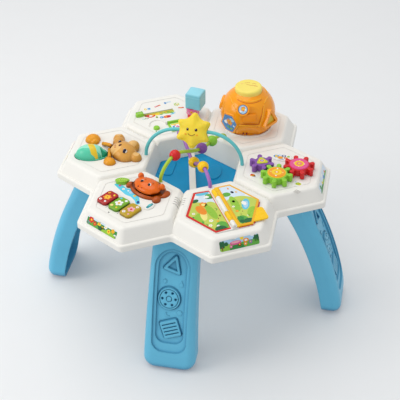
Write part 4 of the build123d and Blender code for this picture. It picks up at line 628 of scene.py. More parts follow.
def book_pictures():
    base = petal(BOOK, height=BOOK_TOP)
    border = [(66, -7), (68.4, -40), (2, -78.4), (-2, -78.4), (-68.4, -40), (-66, -7)]
    picture = [(61.5, -8.5), (63.2, -37.2), (0, -73.4), (-63.2, -37.2), (-61.5, -8.5)]
    rows = cloud(-52, -40, 4) + cloud(-46, -20, 4) + art(
        ("aqua", -60, -24, 6, 14), ("meadow", 20, -50, 56, 44), ("meadow", 20, -20, 50, 20),
        ("green", -44, -12, 6, 12), ("leaf", -50, -14, 5, 7), ("dark_green", -40, -46, 5, 8, 20),
        ("lime", 4, -26, 24, 8, 6), ("lime", 20, -60, 22, 9, -26), ("pale_yellow", 8, -44, 18, 7, -10),
        ("orange", -8, -44, 16, 9, 14), ("gold", -8, -44, 10, 5, 14),
        ("orange", "pale_yellow", -24, -34, 9, 4, 6), ("orange", 6, -30, 8, 3, -20),
        ("brown", -14, -50, 2.4, 1.2), ("brown", -4, -39, 2.4, 1.2), ("brown", 2, -46, 2, 1.2),
        ("leaf", 52, -20, 14, 12), ("dark_green", 60, -26, 9, 12), ("green", 44, -12, 8, 5),
        ("leaf", 38, -60, 16, 6, -30), ("green", 16, -70, 10, 4, -30), ("dark_green", 30, -62, 5, 2.4, -30),
        ("white", "yellow", 30, -36, 4.4, 1.5), ("white", "yellow", 44, -42, 4, 1.3),
        ("white", "gold", 50, -28, 3.6, 1.2), ("orange", 20, -14, 3, 1.4), ("brown", 28, -20, 2, 1),
        ("brown", 14, -20, 2, 1), ("gold", flower(36, -24, 3)), ("white", "gold", -2, -62, 3.4, 1.1),
        ("green", stroke([(-6, -16), (-2, -12), (2, -16)], 1.4)),
        ("green", stroke([(36, -50), (40, -46), (44, -50)], 1.4)),
    )
    sticker("book_left_border", "table", base, border, [], "red")
    above = petal(BOOK, height=BOOK_TOP + PRINT_BASE)
    sticker("book_left_picture", "table", above, picture, rows, "pale_sky")

    rows = art(
        ("pale_sky", -50, 40, 34, 60), ("meadow", 26, 36, 50, 44), ("lime", -2, 26, 26, 8),
        ("lime", 34, 50, 18, 10, -30), ("green", -30, 62, 14, 5, 28), ("leaf", -36, 20, 7, 9),
        ("aqua", 6, 46, 18, 8, -24), ("sky", 7, 46, 12, 5, -24), ("white", 2, 44, 7, 4.6, 10),
        ("sky", 2, 42, 6, 4, 30), ("white", -6, 30, 6, 4.4, 12), ("grey", -10, 26, 3.6, 3),
        ("deep_blue", -1, 46, 2.4, 1.2), ("deep_blue", -6, 41, 1.8, 1), ("leaf", 52, 24, 14, 11),
        ("dark_green", 58, 34, 8, 12), ("green", flower(46, 20, 8, 7)),
        ("dark_green", flower(56, 20, 6, 6)), ("white", "gold", 34, 26, 4, 1.3),
        ("white", "gold", 42, 40, 4, 1.3), ("orange", "yellow", 22, 22, 3.6, 1.2),
        ("white", "yellow", 6, 20, 3, 1), ("orange", -54, 30, 3, 1.6), ("blue", -40, 34, 4, 3, 30),
        ("tan", -38, 42, 3.4, 2.4), ("brown", 16, 34, 1.8, 1), ("brown", 26, 32, 1.8, 1),
    ) + cloud(-22, 60, 4) + cloud(-54, 54, 3.4)
    sticker("page_frame", "page", petal(BOOK, height=PAGE_TOP), half_page(77.4, 10.5), [], "gold")
    inner = half_page(72.5, 13.5)
    sticker("page_picture", "page", petal(BOOK, height=PAGE_TOP + PRINT_BASE), inner, rows, "pale_sky")

    line = Piece("page_edge_line", "table", base)
    for side in (1, -1):
        for (ax, ay), (bx, by) in (((4, 77.2), (66, 41.4)), ((68.2, 39), (68.2, 8))):
            line.slab(stroke([(side * ax, ay), (side * bx, by)], 2.2), ink("red"), PRINT_SEAT, PRINT_BASE)
    line.done()


def book_spine():
    """Round sleeves over the hinge barrels, with a collar near each end."""
    collar, waist, chamfer, pin_height = 5.2, 4.9, 4.7, 5.4
    for name, body, start, end, colour in (
        ("spine_sleeve_inner", "page", -57.4, -32.6, yellow), ("spine_middle", "table", -31.4, 19.4, shell),
        ("spine_sleeve_outer", "page", 20.6, 49.4, yellow), ("spine_end", "table", 50.6, 67.4, shell),
    ):
        piece = Piece(name, body, petal(BOOK))
        radii = [
            (start, chamfer), (start + 1.2, collar), (start + 3, collar), (start + 3.4, waist),
            (end - 3.4, waist), (end - 3, collar), (end - 1.2, collar), (end, chamfer),
        ]
        piece.lathe_x(radii, pin_height, colour)
        piece.done()


# ---- keys panel
def key_prints():
    for body, rows in (
        ("red_key", art(
            ("orange", "yellow", 37, -40, 9, 5, 6), ("red", 37, -40, 2),
            ("yellow", 24, -33, 3, 2, 30), ("white", 50, -34, 2.4), ("gold", 24, -47, 3.4, 2, -30),
            ("white", "orange", 50, -47, 3.4, 1.1),
        )),
        ("green_key", art(
            ("white", "gold", 36, -8, 9, 3, 5, 0.36), ("pale_yellow", flower(50, -15, 3.6)),
            ("white", flower(22, -1, 3.4)), ("yellow", 50, -2, 2.2), ("aqua", 22, -15, 2.6),
        )),
        ("yellow_key", art(
            ("pale_pink", "red", 35, 25, 8.4, 2.6, 5, 0.36), ("white", "pink", 49, 18, 4, 1.3),
            ("white", "orange", 22, 30, 3.6, 1.2), ("pale_pink", 50, 31, 2.2),
        )),
    ):
        printed("print_" + body, body, petal(KEYS, height=KEY_TOP), rows)


def keys_surround():
    wave = [(-8, -66), (-4, -52), (-1, -38), (2, -24), (0, -10), (4, 4), (12, 16)]
    edge = [(-22, -62), (-17, -50), (-15, -38), (-20, -24), (-16, -8), (-8, 6), (-1, 14), (6, 21)]
    bright = art(
        ("sky", -11, -20, 4.4), ("white", "yellow", -9, -40, 3.4, 1.2),
        ("yellow", "orange", -7, -6, 3.2, 1.1), ("white", -11, -28, 2),
        ("pink", flower(-13, -54, 3.2)), ("deep_blue", 4, 14, 4.6, 3, 40), ("lime", 0, 6, 2.6, 1.4, 40),
    )
    piece = Piece("keys_strip", "table", petal(KEYS))
    cyan = plastic("strip_cyan", (96, 208, 236), 0.28, coat=0.3)
    piece.slab(wave + edge[::-1], cyan, PRINT_SEAT, PRINT_BASE)
    piece.layers(bright, lambda number: PRINT_BASE + PRINT_STEP * (1 + number % 5))
    piece.done()
    # Thin grey strips of painted shade in the gaps between the keys.
    shadow_lines = Piece("keys_grooves", "table", petal(KEYS))
    for row in (-24, 8):
        shadow_lines.slab(rounded(37, row, 44, 1.6, 0.7), groove_shadow, PRINT_SEAT, 0.14)
    shadow_lines.done()


WELL_X = -41
WELL_RADII = (26, 38.5)
WELL_FLOOR = 2.4


def hippo_well(co):
    """Keeps the body clear of the head that presses down into it."""
    inside = ((co.x - WELL_X) / WELL_RADII[0]) ** 2 + (co.y / WELL_RADII[1]) ** 2
    if inside < 1 and co.z > WELL_FLOOR:
        co.z = WELL_FLOOR


def hippo():
    """A round-headed beast lying between its paws: a head that presses and the body round it."""
    place = petal(KEYS)
    skull = [(-40, 0, 10.5, 21.5, 32, 11.5, 0), (-29, 1, 9.5, 12, 25, 8.6, 0)]
    ears = [(-51, -29, 16, 6.4, 6.6, 7.5, 0), (-51, 30, 15.5, 6.4, 6.6, 7, 0)]
    brows = [(-41, -11, 18.5, 7, 6.4, 4.6, 0), (-40, 10, 18.5, 7, 6.4, 4.6, 0)]
    thing = blob("hippo_head_form", "hippo", skull + ears + brows, lambda p: hippo_orange, place, 6.4)
    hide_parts("hippo_head")

    trunk = [(-43, 0, 0, 30, 42, 10.5, 0), (-27, 0, 0, 17, 34, 10.5, 0)]
    paws = [(-25, 38, 1, 11, 9, 8, 20), (-27, -37, 1, 10, 8, 8, -20), (-50, 38, 0, 14, 10, 6.2, 0),
            (-52, -35, 0, 12, 9, 5.8, 0)]
    base = blob(
        "hippo_body_form", "table", trunk + paws, lambda p: hippo_brown, place, 0.05, 0.9, 6, hippo_well
    )
    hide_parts("hippo_body")

    face = Piece("hippo_face", "hippo", place)
    dark = ink("black")
    ear_inner = plastic("hippo_ear_inner", (240, 132, 50), 0.3)
    for side in (1, -1):
        face.dome(-36.0, 10.4 * side, 4.6, 4.4, ink("white"), 18, 23.3)
        face.dome(-34.8, 10 * side, 3.6, 3.6, dark, 19, 24.0)
        # A small white dot on each pupil: a painted highlight.
        face.dome(-36, 9.2 * side, 1.0, 1.0, ink("white"), 22.6, 24.4)
        face.dome(-21.5, -4 + 5 * side, 1.4, 1.7, ink("dark_red"), 13, 17.2)
        face.dome(-50.2, 30 * side, 3.0, 3.4, ear_inner, 16, 22.9)
        face.rope([(-43, 6 * side, 21.2), (-42.4, 10 * side, 22.4), (-43.4, 14 * side, 21.2)], 0.6, dark)
    face.done()


def leaf_cover():
    piece = Piece("leaf_form", "leaf", petal(KEYS, -24, -57.5, turn=131))
    half_length, half_width, vein_low, vein_high = 13.5, 8.2, 7.0, 7.5
    outline = []
    for k in range(36):
        a = 2 * pi * k / 36
        reach = half_length * cos(a) * (1 + 0.12 * cos(2 * a))
        outline.append((reach, half_width * sin(a) * (1 - 0.12 * cos(a))))
    piece.pillow(outline, plastic("leaf_green", (140, 196, 46), 0.26, coat=0.3), 5.6, 7.2, 0.9)
    vein = plastic("leaf_vein", (196, 226, 110), 0.3)
    piece.slab(stroke([(-11, 0), (0, 0.4), (11.6, 0)], 1.0), vein, vein_low, vein_high)
    for k in (-7, -2.5, 2, 6.5):
        for side in (1, -1):
            twig = stroke([(k, 0), (k + 2.6, side * 3.4), (k + 3.6, side * 5.4)], 0.7)
            piece.slab(twig, vein, vein_low, vein_high - PRINT_STEP)
    piece.done()


def switch_prints():
    piece = Piece("switch_marks", "table", petal(KEYS, -0.4, 42.5))
    piece.slab(rounded(0, 0, 19, 6.4, 3), plastic("switch_slot", (70, 150, 160), 0.4), 2.9, 3.08)
    for side, key in ((1, "red"), (-1, "grey")):
        piece.slab(ellipse(11.4 * side, 0, 0.8), ink(key), 2.2, 2.75)
    piece.done()
    # A grey disc stands for a small hole in the panel: its dark colour is painted shade.
    hole = Piece("panel_hole", "table", petal(KEYS, 66, -8))
    hole.slab(ellipse(0, 0, 1.7), plastic("hole_painted_shade", (90, 88, 86), 0.7), PRINT_SEAT, 0.1)
    hole.done()


# ---- bear
BELLY = (-37, -24)
BELLY_RADII = (38.4, 24.6)
BELLY_TURN = 14
EARS = ((7, 43), (62, -22))


def near(p, x, y, reach):
    return hypot(p.x - x, p.y - y) < reach


def bear_ear_dish(co):
    """Shallow hollow in each ear."""
    for x, y in EARS:
        if near(co, x, y, 7) and co.z > 8:
            co.z -= 2.2 * (1 - (hypot(co.x - x, co.y - y) / 7) ** 2)


def bear_belly_gap(co):
    """Keeps hand and foot out of the belly's path."""
    spin = turn_z(-BELLY_TURN, 3)
    q = spin @ Vector((co.x - BELLY[0], co.y - BELLY[1], 0))
    reach = hypot(q.x / BELLY_RADII[0], q.y / BELLY_RADII[1])
    if 0.01 < reach < 1:
        out = spin.transposed() @ Vector((q.x / reach, q.y / reach, 0))
        co.x, co.y = out.x + BELLY[0], out.y + BELLY[1]


def bear_belly(place):
    strap = plastic("strap_yellow", (238, 202, 46), 0.28, coat=0.4)
    # A paler mint as painted highlight and a darker mint as painted shade on the belly.
    mint_painted_highlight = plastic("bear_pale_mint", (150, 232, 204), 0.24, 0.05, coat=0.6)
    mint_painted_shade = plastic("bear_deep_mint", (12, 152, 112), 0.26, coat=0.4)

    # The yellow strap is real. Past the strap on one side, the -y part is darker mint: painted shade. On
    # the other side, the +y part is paler, glossier mint: painted highlight.
    def belly_colour(p):
        along = (p.x + 38) * 0.83 + (p.y + 20) * 0.55
        if abs(along) < 6.6 and p.y > -41:
            return strap
        if along > 16:
            return mint_painted_shade if p.y < -20 else mint
        return mint_painted_highlight if p.y > -32 else mint

    lumps = [(-39.5, -24, 0, 32, 22, 24.5, BELLY_TURN), (-21, -20, 0, 19, 14, 14, BELLY_TURN)]
    thing = blob("bear_belly_form", "bear_button", lumps, belly_colour, place, 0.4)
    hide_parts("bear_body")

    skirt = Piece("bear_skirt", "bear_button", place)
    skirt.pillow(ellipse(*BELLY, 36.4, 22.9, BELLY_TURN, 64), mint, -1.2, 1.4, 0.8)
    skirt.done()


def bear():
    """A bear seen from above: a head with round ears, a belly that presses, two arms, a hand and a foot."""
    place = petal(BEAR, turn=-BEAR)
    bear_belly(place)
    light_tan = plastic("bear_light_tan", (232, 184, 112), 0.3, coat=0.4)

    def head_colour(p):
        pale = near(p, 16, -15, 12) or near(p, 46, 9, 10) or any(near(p, x, y, 6.5) for x, y in EARS)
        return light_tan if pale else tan

    head = [(31, -8, 3, 33, 27, 23, -50), (8, 40, 2, 13, 13, 15, 0), (61, -22, 2, 13, 12, 14, 0),
            (15, -13, 11, 12, 12, 12, 35), (47, 11, 8, 15, 13, 15, 40), (12, 24, 2, 14, 16, 17, 0)]
    thing = blob("bear_head_form", "table", head, head_colour, place, 0.05, smooth=4, dent=bear_ear_dish)
    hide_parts("bear_head")

    for name, node, lumps in (
        ("bear_foot_form", "bear_foot", [(-49, 31, 0, 17, 15, 14.5, 20), (-42, 22, 0, 10, 8, 10, 30)]),
        ("bear_hand_form", "bear_hand", [(9, -45, 0, 14, 12, 11.5, -15), (4, -38, 0, 9, 7, 9, -30)]),
    ):
        thing = blob(name, "table", lumps, lambda p: amber, place, 0.05, dent=bear_belly_gap)
        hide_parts(node)

    arm = Piece("bear_arm", "table", place)
    arm.rope([(-22, 15, 5), (-14, 12, 7), (-6, 8, 8.4), (1, 3, 9.4)], 4.4, amber, 14)
    arm.rope([(-2, -4, 5.4), (1, -14, 5.8), (4, -26, 5.4), (6, -36, 5)], 4.2, amber, 14)
    arm.done()

    face = Piece("bear_face", "table", place)
    eye = plastic("bear_eye", (26, 30, 60), 0.12, coat=0.6)
    for x, y, rise in ((21, 3, 25.8), (39.3, -26.5, 26.2)):
        face.dome(x, y, 5.0, 3.8, ink("white"), 19, rise - 0.6, 35)
        face.dome(x - 0.5, y - 0.3, 4.8, 3.7, eye, 19, rise + 0.8, 35)
        # A small white dot on each eye: a painted highlight.
        face.dome(x - 2.0, y + 0.8, 1.0, 1.0, ink("white"), 24, rise + 1.2)
    face.dome(25, -11.4, 4.6, 3.6, plastic("bear_nose", (104, 50, 22), 0.16, coat=0.5), 21.5, 27.4, 35)
    mouth = plastic("bear_mouth", (176, 36, 30), 0.3)
    face.dome(13.4, -10.6, 3.2, 2.2, mouth, 18.5, 23.6, 35)
    face.dome(14.4, -16.4, 2.0, 2.8, mouth, 18.5, 23.4, 35)
    face.done()


# ---- gears
GREEN_GEAR = (0, -38)
RED_GEAR = (42.46, 0.91)
PURPLE_GEAR = (-36.1, -2.9)


def gear_prints():
    for name, body, middle, rows in (
        ("cap_print_green", "green_gear", GREEN_GEAR, art(
            ("yellow", 0, 0, 10.6), ("gold", "white", 0, 0, 5.6, 2, 6), ("white", flower(0, 12.6, 2)),
            ("white", flower(0, -12.6, 2)), ("pale_yellow", 12.6, 0, 1.6), ("pale_yellow", -12.6, 0, 1.6),
        )),
        ("cap_print_red", "red_gear", RED_GEAR, art(
            ("yellow", 0, 0, 10.4), ("gold", 0, 0, 8), ("pink", "yellow", 0, 0, 5.6, 2.6, 6),
            ("white", 0, 11.2, 1), ("white", 0, -11.2, 1), ("white", 11.2, 0, 1), ("white", -11.2, 0, 1),
        )),
        ("cap_print_purple", "purple_gear", PURPLE_GEAR, art(
            ("yellow", 0, 0, 6.4), ("violet", "white", 0, 0, 4.4, 1.3),
        )),
    ):
        printed(name, body, petal(GEARS) @ shift(*middle, CAP_TOP), rows)
    for name, body, middle, radius, colour in (
        ("gear_flange_green", "green_gear", GREEN_GEAR, 19.5, plastic("flange_amber", (250, 190, 40), 0.3)),
        ("gear_flange_red", "red_gear", RED_GEAR, 20.5, plastic("flange_pink", (222, 70, 130), 0.3)),
    ):
        flange = Piece(name, body, petal(GEARS, *middle))
        flange.pillow(ellipse(0, 0, radius, count=48), colour, GEAR_TOP - 0.6, GEAR_TOP + 0.9, 0.5)
        flange.done()
    for name, x, y, rows in (
        ("gear_sticker_left", -50, -34, art(
            ("orange", -1, 0, 5.4, 4.4), ("brown", 2, -2, 4, 2.6), ("red", -3, 2.4, 2.2),
            ("gold", 0, 0, 1.8), ("grey", 5, -5, 2, 1.4),
        )),
        ("gear_sticker_right", 46, -46, art(
            ("meadow", 1, -1, 6.4, 5), ("lime", flower(0, 0.6, 4)), ("yellow", 0, 1, 1.5),
            ("sky", -5, 5, 1.6), ("gold", 4, -4, 2, 1.4),
        )),
    ):
        sticker(name + "_ring", "table", petal(GEARS, x, y), ellipse(0, 0, 11.6, 9.8), [])
        sticker(name, "table", petal(GEARS, x, y, PRINT_BASE), ellipse(0, 0, 10.4, 8.6), rows)
    badge = art(
        ("blue", -12, 1, 6, 5), ("yellow", flower(-12, 1, 3.6, 6)), ("gold", -3, -3, 6, 5),
        ("orange", -3, -2, 3), ("deep_blue", 4, 4, 5, 4), ("white", flower(4, 4, 2.6)),
        ("red", 9, -3, 4, 3), ("yellow", 9, -3, 1.6), ("lime", 14, 3, 3, 3), ("sky", -5, 6, 4, 2),
        ("blue", 0, -8, 6, 1.6),
    )
    sticker("gear_badge_print", "table", petal(GEARS, 1, 42, 1.5), ellipse(0, 0, 19.6, 11.4), badge)
    # Four thin grey strips: painted shade where the panel has grooves.
    shadow_lines = Piece("gear_grooves", "table", petal(GEARS, 50, -70, turn=-30))
    for k in range(4):
        shadow_lines.slab(rounded(0, -3 * k, 13, 1.0, 0.45), groove_shadow, PRINT_SEAT, 0.12)
    shadow_lines.done()


# ---- side walls
def wall_pictures():
    village = art(
        ("sky", rounded(0, 26, 96, 14, 1)), ("lime", hill(-34, 7, 46, 12, 2)),
        ("leaf", hill(20, 7, 60, 10, 2)), ("green", hill(-6, 7, 30, 7, 2)),
        ("dark_green", flower(-36, 18, 8, 6)), ("brown", rounded(-36, 10, 2.2, 8, 0.6)),
        ("pink", -8, 17, 12, 4), ("pale_pink", -8, 18, 9, 2), ("dark_green", flower(-27, 18, 4.4, 6)),
        ("white", -12, 25, 6, 2.2), ("white", -8, 26.4, 4, 2), ("yellow", 6, 24, 4),
        ("red", "yellow", 0, 12, 4.4, 1.5), ("orange", "white", 12, 11, 4, 1.3),
        ("violet", "yellow", 23, 13, 3.8, 1.2), ("aqua", 36, 10, 7, 3), ("white", 30, 25, 6, 2),
        ("dark_green", flower(36, 18, 7.4, 6)), ("orange", 14, 18, 6, 4), ("white", 14, 18, 3, 2),
        ("pink", "white", -18, 11, 3.4, 1.1),
    )
    field = art(
        ("lime", hill(0, 5, 96, 8, 2)), ("green", hill(-26, 5, 40, 9, 2)), ("leaf", hill(26, 5, 36, 8, 2)),
        ("yellow", "orange", -12, 14, 3.6, 1.2), ("blue", 12, 12, 7, 3), ("white", 4, 22, 6, 2),
        ("red", "yellow", 30, 14, 3.4, 1.1), ("green", flower(-32, 17, 4.8, 6)),
        ("white", -22, 24, 5, 1.8),
    )
    garden = art(
        ("pale_sky", -6, 23, 60, 5), ("white", 20, 22, 9, 3), ("dark_green", hill(0, 4, 96, 9, 2)),
        ("leaf", hill(-24, 4, 34, 11, 2)), ("lime", hill(20, 4, 40, 9, 2)),
        ("red", "yellow", -30, 16, 7, 2.2), ("red", "gold", -19, 12, 5, 1.6),
        ("yellow", "orange", -8, 16, 5, 1.8), ("gold", flower(2, 11, 4.4)),
        ("sky", flower(-36, 8, 4)), ("white", "yellow", 10, 17, 4.6, 1.5),
        ("yellow", "red", 20, 12, 5, 1.6), ("gold", "orange", 30, 17, 5, 1.6),
        ("white", flower(37, 9, 4)), ("dark_green", stroke([(-13, 4), (-12, 9)], 1.4)),
        ("dark_green", stroke([(15, 4), (15, 9)], 1.4)),
    )
    for name, angle, middle, tall, reach, ground, rows in (
        ("book_wall", BOOK, 15, 21, 41, "sky", village),
        ("gear_wall", GEARS, 16, 18, 44, "pale_sky", field),
        ("keys_wall", KEYS, 13, 17, 41, "green", garden),
        ("ball_wall", BALL, 17, 20, 44, "pale_sky", field),
        ("light_wall", LIGHTS, 17, 20, 44, "pale_sky", village),
        ("bear_wall", BEAR, 16, 18, 44, "pale_sky", garden),
    ):
        base = rounded(0, middle, 2 * reach, tall, 3.6)
        sticker("wall_picture_" + name, "table", petal_wall(angle), base, rows, ground)


# ---- ball
PLATE_TOP = 57.6
RIDGE_RADIUS = 60.9
SHADOW_LINE_RADIUS = 60.7
PANEL_RADII = (60.2, 61.0)
BADGE_RADIUS = 62.5
HOLE_RADIUS = 59


def ball_plate():
    """Six-sided plate with a picture, standing proud of the ball."""
    outline = [(-14.8, 22.7), (12.7, 27.4), (26.7, 8.1), (7.9, -26.7), (-16.3, -29.4), (-30.1, -10.6)]
    place = ball_place(-126, -8, 0)
    plate = Piece("ball_plate", "ball", place)
    plate.pillow(outline, orange, 49, PLATE_TOP, 1.6)
    plate.done()
    rows = art(
        ("sky", 8, 12, 7, 5), ("white", -12, -2, 5, 4), ("white", -9, 2, 4, 3),
        ("orange", "gold", 0, 3, 9, 5, 6), ("red", 0, 3, 2.2),
        ("green", stroke([(-1, -6), (-2, -12), (0, -18)], 2)), ("lime", 4, -14, 4.4, 2, 30),
        ("leaf", -6, -13, 4.4, 2, 150), ("white", 13, -3, 3, 2.4),
    )
    inner = [(x * 0.84, y * 0.84) for x, y in outline]
    sticker("ball_plate_picture", "ball", place @ shift(0, 0, PLATE_TOP), inner, rows, "blue")

    badge = Piece("ball_badge_ring", "ball", ball_place(-94, 33, BADGE_RADIUS))
    for key, rise, outline in (
        ("deep_blue", 0, ellipse(0, 0, 10.6)), ("sky", 0.06, ellipse(0, 0, 9.2)),
        ("orange", 0.1, flower(0.6, 1.4, 5.6, 5)), ("yellow", 0.14, ellipse(0.6, 1.4, 2)),
        ("white", 0.1, ellipse(-4.6, -4.4, 2.4, 1.8)), ("white", 0.18, ellipse(5.4, 0.2, 1.6, 2.2)),
    ):
        badge.slab(outline, ink(key), PRINT_SEAT, PRINT_BASE + rise)
    badge.done()


def ball_seams():
    """Ridges between the ball's panels, tinted paler as painted highlight, with lines of painted shadow
    beside some of them, as (azimuth, elevation).
    """
    centre = Matrix.Translation(BALL_CENTRE) @ SCALE
    seams = Piece("ball_seams", "ball", centre)
    ridges = (
        [(-101, -2), (-80, -1), (-58, -3), (-54, -4)], [(-101, -3), (-112, -22), (-116, -34)],
        [(-58, -8), (-50, 12), (-42, 30), (-36, 38)],
        [(-120, 54), (-96, 51), (-74, 50), (-52, 51), (-32, 52)],
        [(-112, 30), (-124, 38), (-140, 44), (-160, 46)], [(-34, 40), (-20, 44), (0, 44)],
        [(10, 48), (60, 50), (110, 50), (150, 48)], [(20, -4), (60, -3), (100, -3), (140, -4)],
        [(60, -3), (60, 48)],
    )
    # Darker lines beside the ridges: painted shadow.
    shadow_lines = (
        [(-100, 1), (-80, 2), (-58, 0)], [(-104, -6), (-114, -22), (-119, -33)],
        [(-120, 50.5), (-96, 47.5), (-74, 46.5), (-52, 47.5), (-32, 49)],
        [(-62, -8), (-54, 12), (-46, 29), (-39, 37)],
    )
    # Ridge colour paler than the ball: painted highlight. Line colour darker than the ball: painted shadow.
    for lines, radius, size, material in (
        (ridges, RIDGE_RADIUS, 1.5, plastic("ball_ridge_painted_highlight", (255, 178, 36), 0.2, coat=0.6)),
        (shadow_lines, SHADOW_LINE_RADIUS, 0.9, plastic("ball_painted_shadow_line", (206, 104, 0), 0.3)),
    ):
        for line in lines:
            path = []
            for (az, el), (next_az, next_el) in zip(line, line[1:]):
                for k in range(8):
                    path.append(on_ball(az + (next_az - az) * k / 8, el + (next_el - el) * k / 8, radius))
            seams.rope(path, size, material)
    seams.done()

    # A darker orange patch over the middle panel: painted shade.
    panel = Piece("ball_panel", "ball", centre)
    panel.patch((-94, -63), (5, 24), *PANEL_RADII, plastic("ball_painted_shade", (255, 150, 0), 0.2, coat=1.0))
    panel.done()

    # Dark red domes stand for two holes in the ball: their dark colour is painted shade.
    for name, az, el in (("ball_hole_left", -92, -29), ("ball_hole_right", -83.5, -30.5)):
        hole = Piece(name, "ball", ball_place(az, el, HOLE_RADIUS))
        hole.dome(0, 0, 1.9, 1.9, ink("dark_red"), -4, 2.4)
        hole.done()


def cap_smile():
    """A winking face of a few brown lines on the cap."""
    smile = Piece("cap_smile", "ball_button", petal(BALL, 0, 0, 100, 11 - BALL))
    lips = plastic("smile_line", (206, 120, 70), 0.4)
    low = PRINT_SEAT - 0.1
    for points, width in (
        ([(-9, 11), (-3, 13), (4, 12)], 1.0), ([(8, 8), (13, 8.6), (17, 6.4)], 1.0),
        ([(-5, 6), (4, 1.4), (17, -1)], 1.1), ([(12, -2), (16.5, -3.4), (20, -3)], 1.0),
    ):
        smile.slab(stroke(points, width), lips, low, 0.16)
    smile.slab(ellipse(-14, 9, 3, 1.8), plastic("smile_cheek", (244, 204, 120), 0.4), low, 0.12)
    smile.done()


# ---- light panel
def caterpillar():
    """Printed strip beside the slider's track, kept lower than the knob that passes over it, with a brown
    line of painted shadow along its outer edge.
    """
    strip = [
        (18.6, 52), (17.6, -19), (10.2, -19), (9.0, -6), (11.2, 6), (9.4, 18), (11.6, 30), (11, 44),
        (13.6, 52),
    ]
    rows = art(
        ("lime", 14, -4, 5, 9), ("gold", 15, -10, 1.6), ("gold", 15.4, 0, 2), ("gold", 15, 12, 2),
        ("yellow", 14, 22, 4, 6), ("gold", 14.5, 30, 4.4, 4), ("orange", 15, 36, 4.6, 3),
        ("red", 15.4, 42, 5, 3), ("brown", 15.6, 48, 5, 3), ("leaf", 11, 12, 2, 4),
        ("leaf", 10.6, -12, 2, 4),
    )
    worm = Piece("light_strip", "table", petal(LIGHTS))
    worm.slab(strip, ink("meadow"), PRINT_SEAT, 0.12)
    worm.layers(rows, lambda number: 0.14 + 0.02 * (number % 6))
    # Brown line along the strip's outer edge: painted shadow of the slot's edge.
    worm.slab(stroke([(18.9, 54), (18.1, 18), (17.9, -20)], 1.2), ink("brown"), PRINT_SEAT, 0.25)
    worm.done()


def light_prints():
    caterpillar()
    loose = art(
        ("yellow", 43, 41, 4, 3), ("sky", 42, 33, 5, 4.4), ("blue", 43, 32, 3, 2.2),
        ("white", 43.4, 41, 1.4), ("red", stroke([(45, 18), (47, 12), (50, 3)], 3.4)),
        ("pale_pink", 46, 15, 2, 1.4), ("orange", 49, 5, 2.2, 1.4), ("blue", 54, -10, 4, 2.6),
        ("sky", stroke([(55, -13), (56, -18), (55, -24)], 3)), ("deep_blue", 54, -9, 1.2),
        ("meadow", "white", 40.3, -33.7, 7, 4, 6), ("gold", 39, -34, 2), ("leaf", 42, -31, 1.8),
        ("red", stroke([(25, -33), (22.6, -38), (22, -45)], 4)), ("orange", 23, -38, 2.4, 3),
        ("red", stroke([(14, 48), (9, 44), (6.6, 37.5), (8.6, 31), (13, 27)], 3.4)),
        ("white", 12.2, 37.6, 2.6, 3.8), ("leaf", 2.6, 25.6, 3.4, 2.8), ("meadow", 5.6, 25.2, 2.6, 1.8),
        ("brown", 1.4, 25.6, 1.2, 1.6), ("green", stroke([(3, 55), (5.6, 52), (3, 49), (4.4, 45)], 1.8)),
        ("aqua", 5, 58, 1.4), ("blue", -1.5, 15.4, 4.2, 4.6), ("sky", -1.2, 16, 2.2, 2.6),
        ("red", -2.6, 2.4, 5, 9), ("orange", -2.6, 5.6, 4.2, 2.6), ("gold", -2.6, 1, 3.6, 2),
        ("yellow", -3.4, -3.4, 3, 1.8), ("white", -1, 8.4, 1.2),
        ("sky", stroke([(3, -6), (5, -12), (8, -20)], 4)), ("aqua", 5.4, -13, 2.2, 4, 20),
        ("white", 3.8, -8, 1.2), ("green", -52, 44, 2, 1.4), ("gold", -52, 30, 2, 1.4),
    )
    printed("light_prints", "table", petal(LIGHTS), loose)

    tile = art(
        ("white", rounded(0, 0, 20, 20, 2)), ("yellow", rounded(7, 0, 4.4, 18, 1)),
        ("pink", flower(-3, -3, 3.4)), ("blue", -2, 5, 3.4, 2.6), ("red", 2.6, 1, 1.8),
        ("leaf", -7.4, 3, 2, 4), ("violet", -6, -6, 2),
    )
    printed("flap_print", "flap_tile", petal(LIGHTS, -49.5, -2.5, 2.8), tile)

    knob = Piece("knob_face", "slider", on_top("slider_knob", LIGHTS))
    for y in (3, -3):
        knob.dome(-2, y, 1.5, 1.5, ink("white"), -0.4, 0.5)
        knob.dome(-2.3, y, 0.8, 0.8, ink("black"), 0.1, 0.7)
    for y in (-6.5, 6.5):
        knob.slab(ellipse(3, y, 1.2), ink("dark_green"), -0.2, 0.12)
    knob.done()


def post_and_cube():
    post_radius, flowers = 15.05, 12
    axis = petal(LIGHTS, -23, -52, 19.5)
    band = Piece("post_pattern", "post", axis)
    for k in range(flowers):
        band.place = axis @ turn_z(360 * k / flowers) @ shift(post_radius) @ OUTWARD
        key, heart = (("white", "leaf"), ("pale_pink", "violet"), ("gold", "red"))[k % 3]
        rise = 1.5 if k % 2 else -1.5
        band.slab(flower(0, rise, 3.2), ink(key), -0.5, 0.16)
        band.slab(ellipse(0, rise, 1.1), ink(heart), -0.5, 0.24)
    band.done()

    lid = Piece("cube_lid", "cube", petal(LIGHTS, -19, -60, turn=50))
    pale = plastic("cube_lid_blue", (150, 216, 232), 0.32, coat=0.2)
    lid.pillow(rounded(0, 0, 33.6, 33.6, 4), pale, 61.6, 63.4, 1.2)
    lid.slab(rounded(0, 0, 36.9, 36.9, 3.4), pale, 54.6, 56.0)
    lid.done()


# ---- star
STAR_TIP = 43
STAR_NOTCH = 26
STAR_LEAN = 35
STAR_RIM = 6.4
STAR_CROWN = 8.2
STAR_FULLNESS = 2.6
STAR_BACK = 4.6


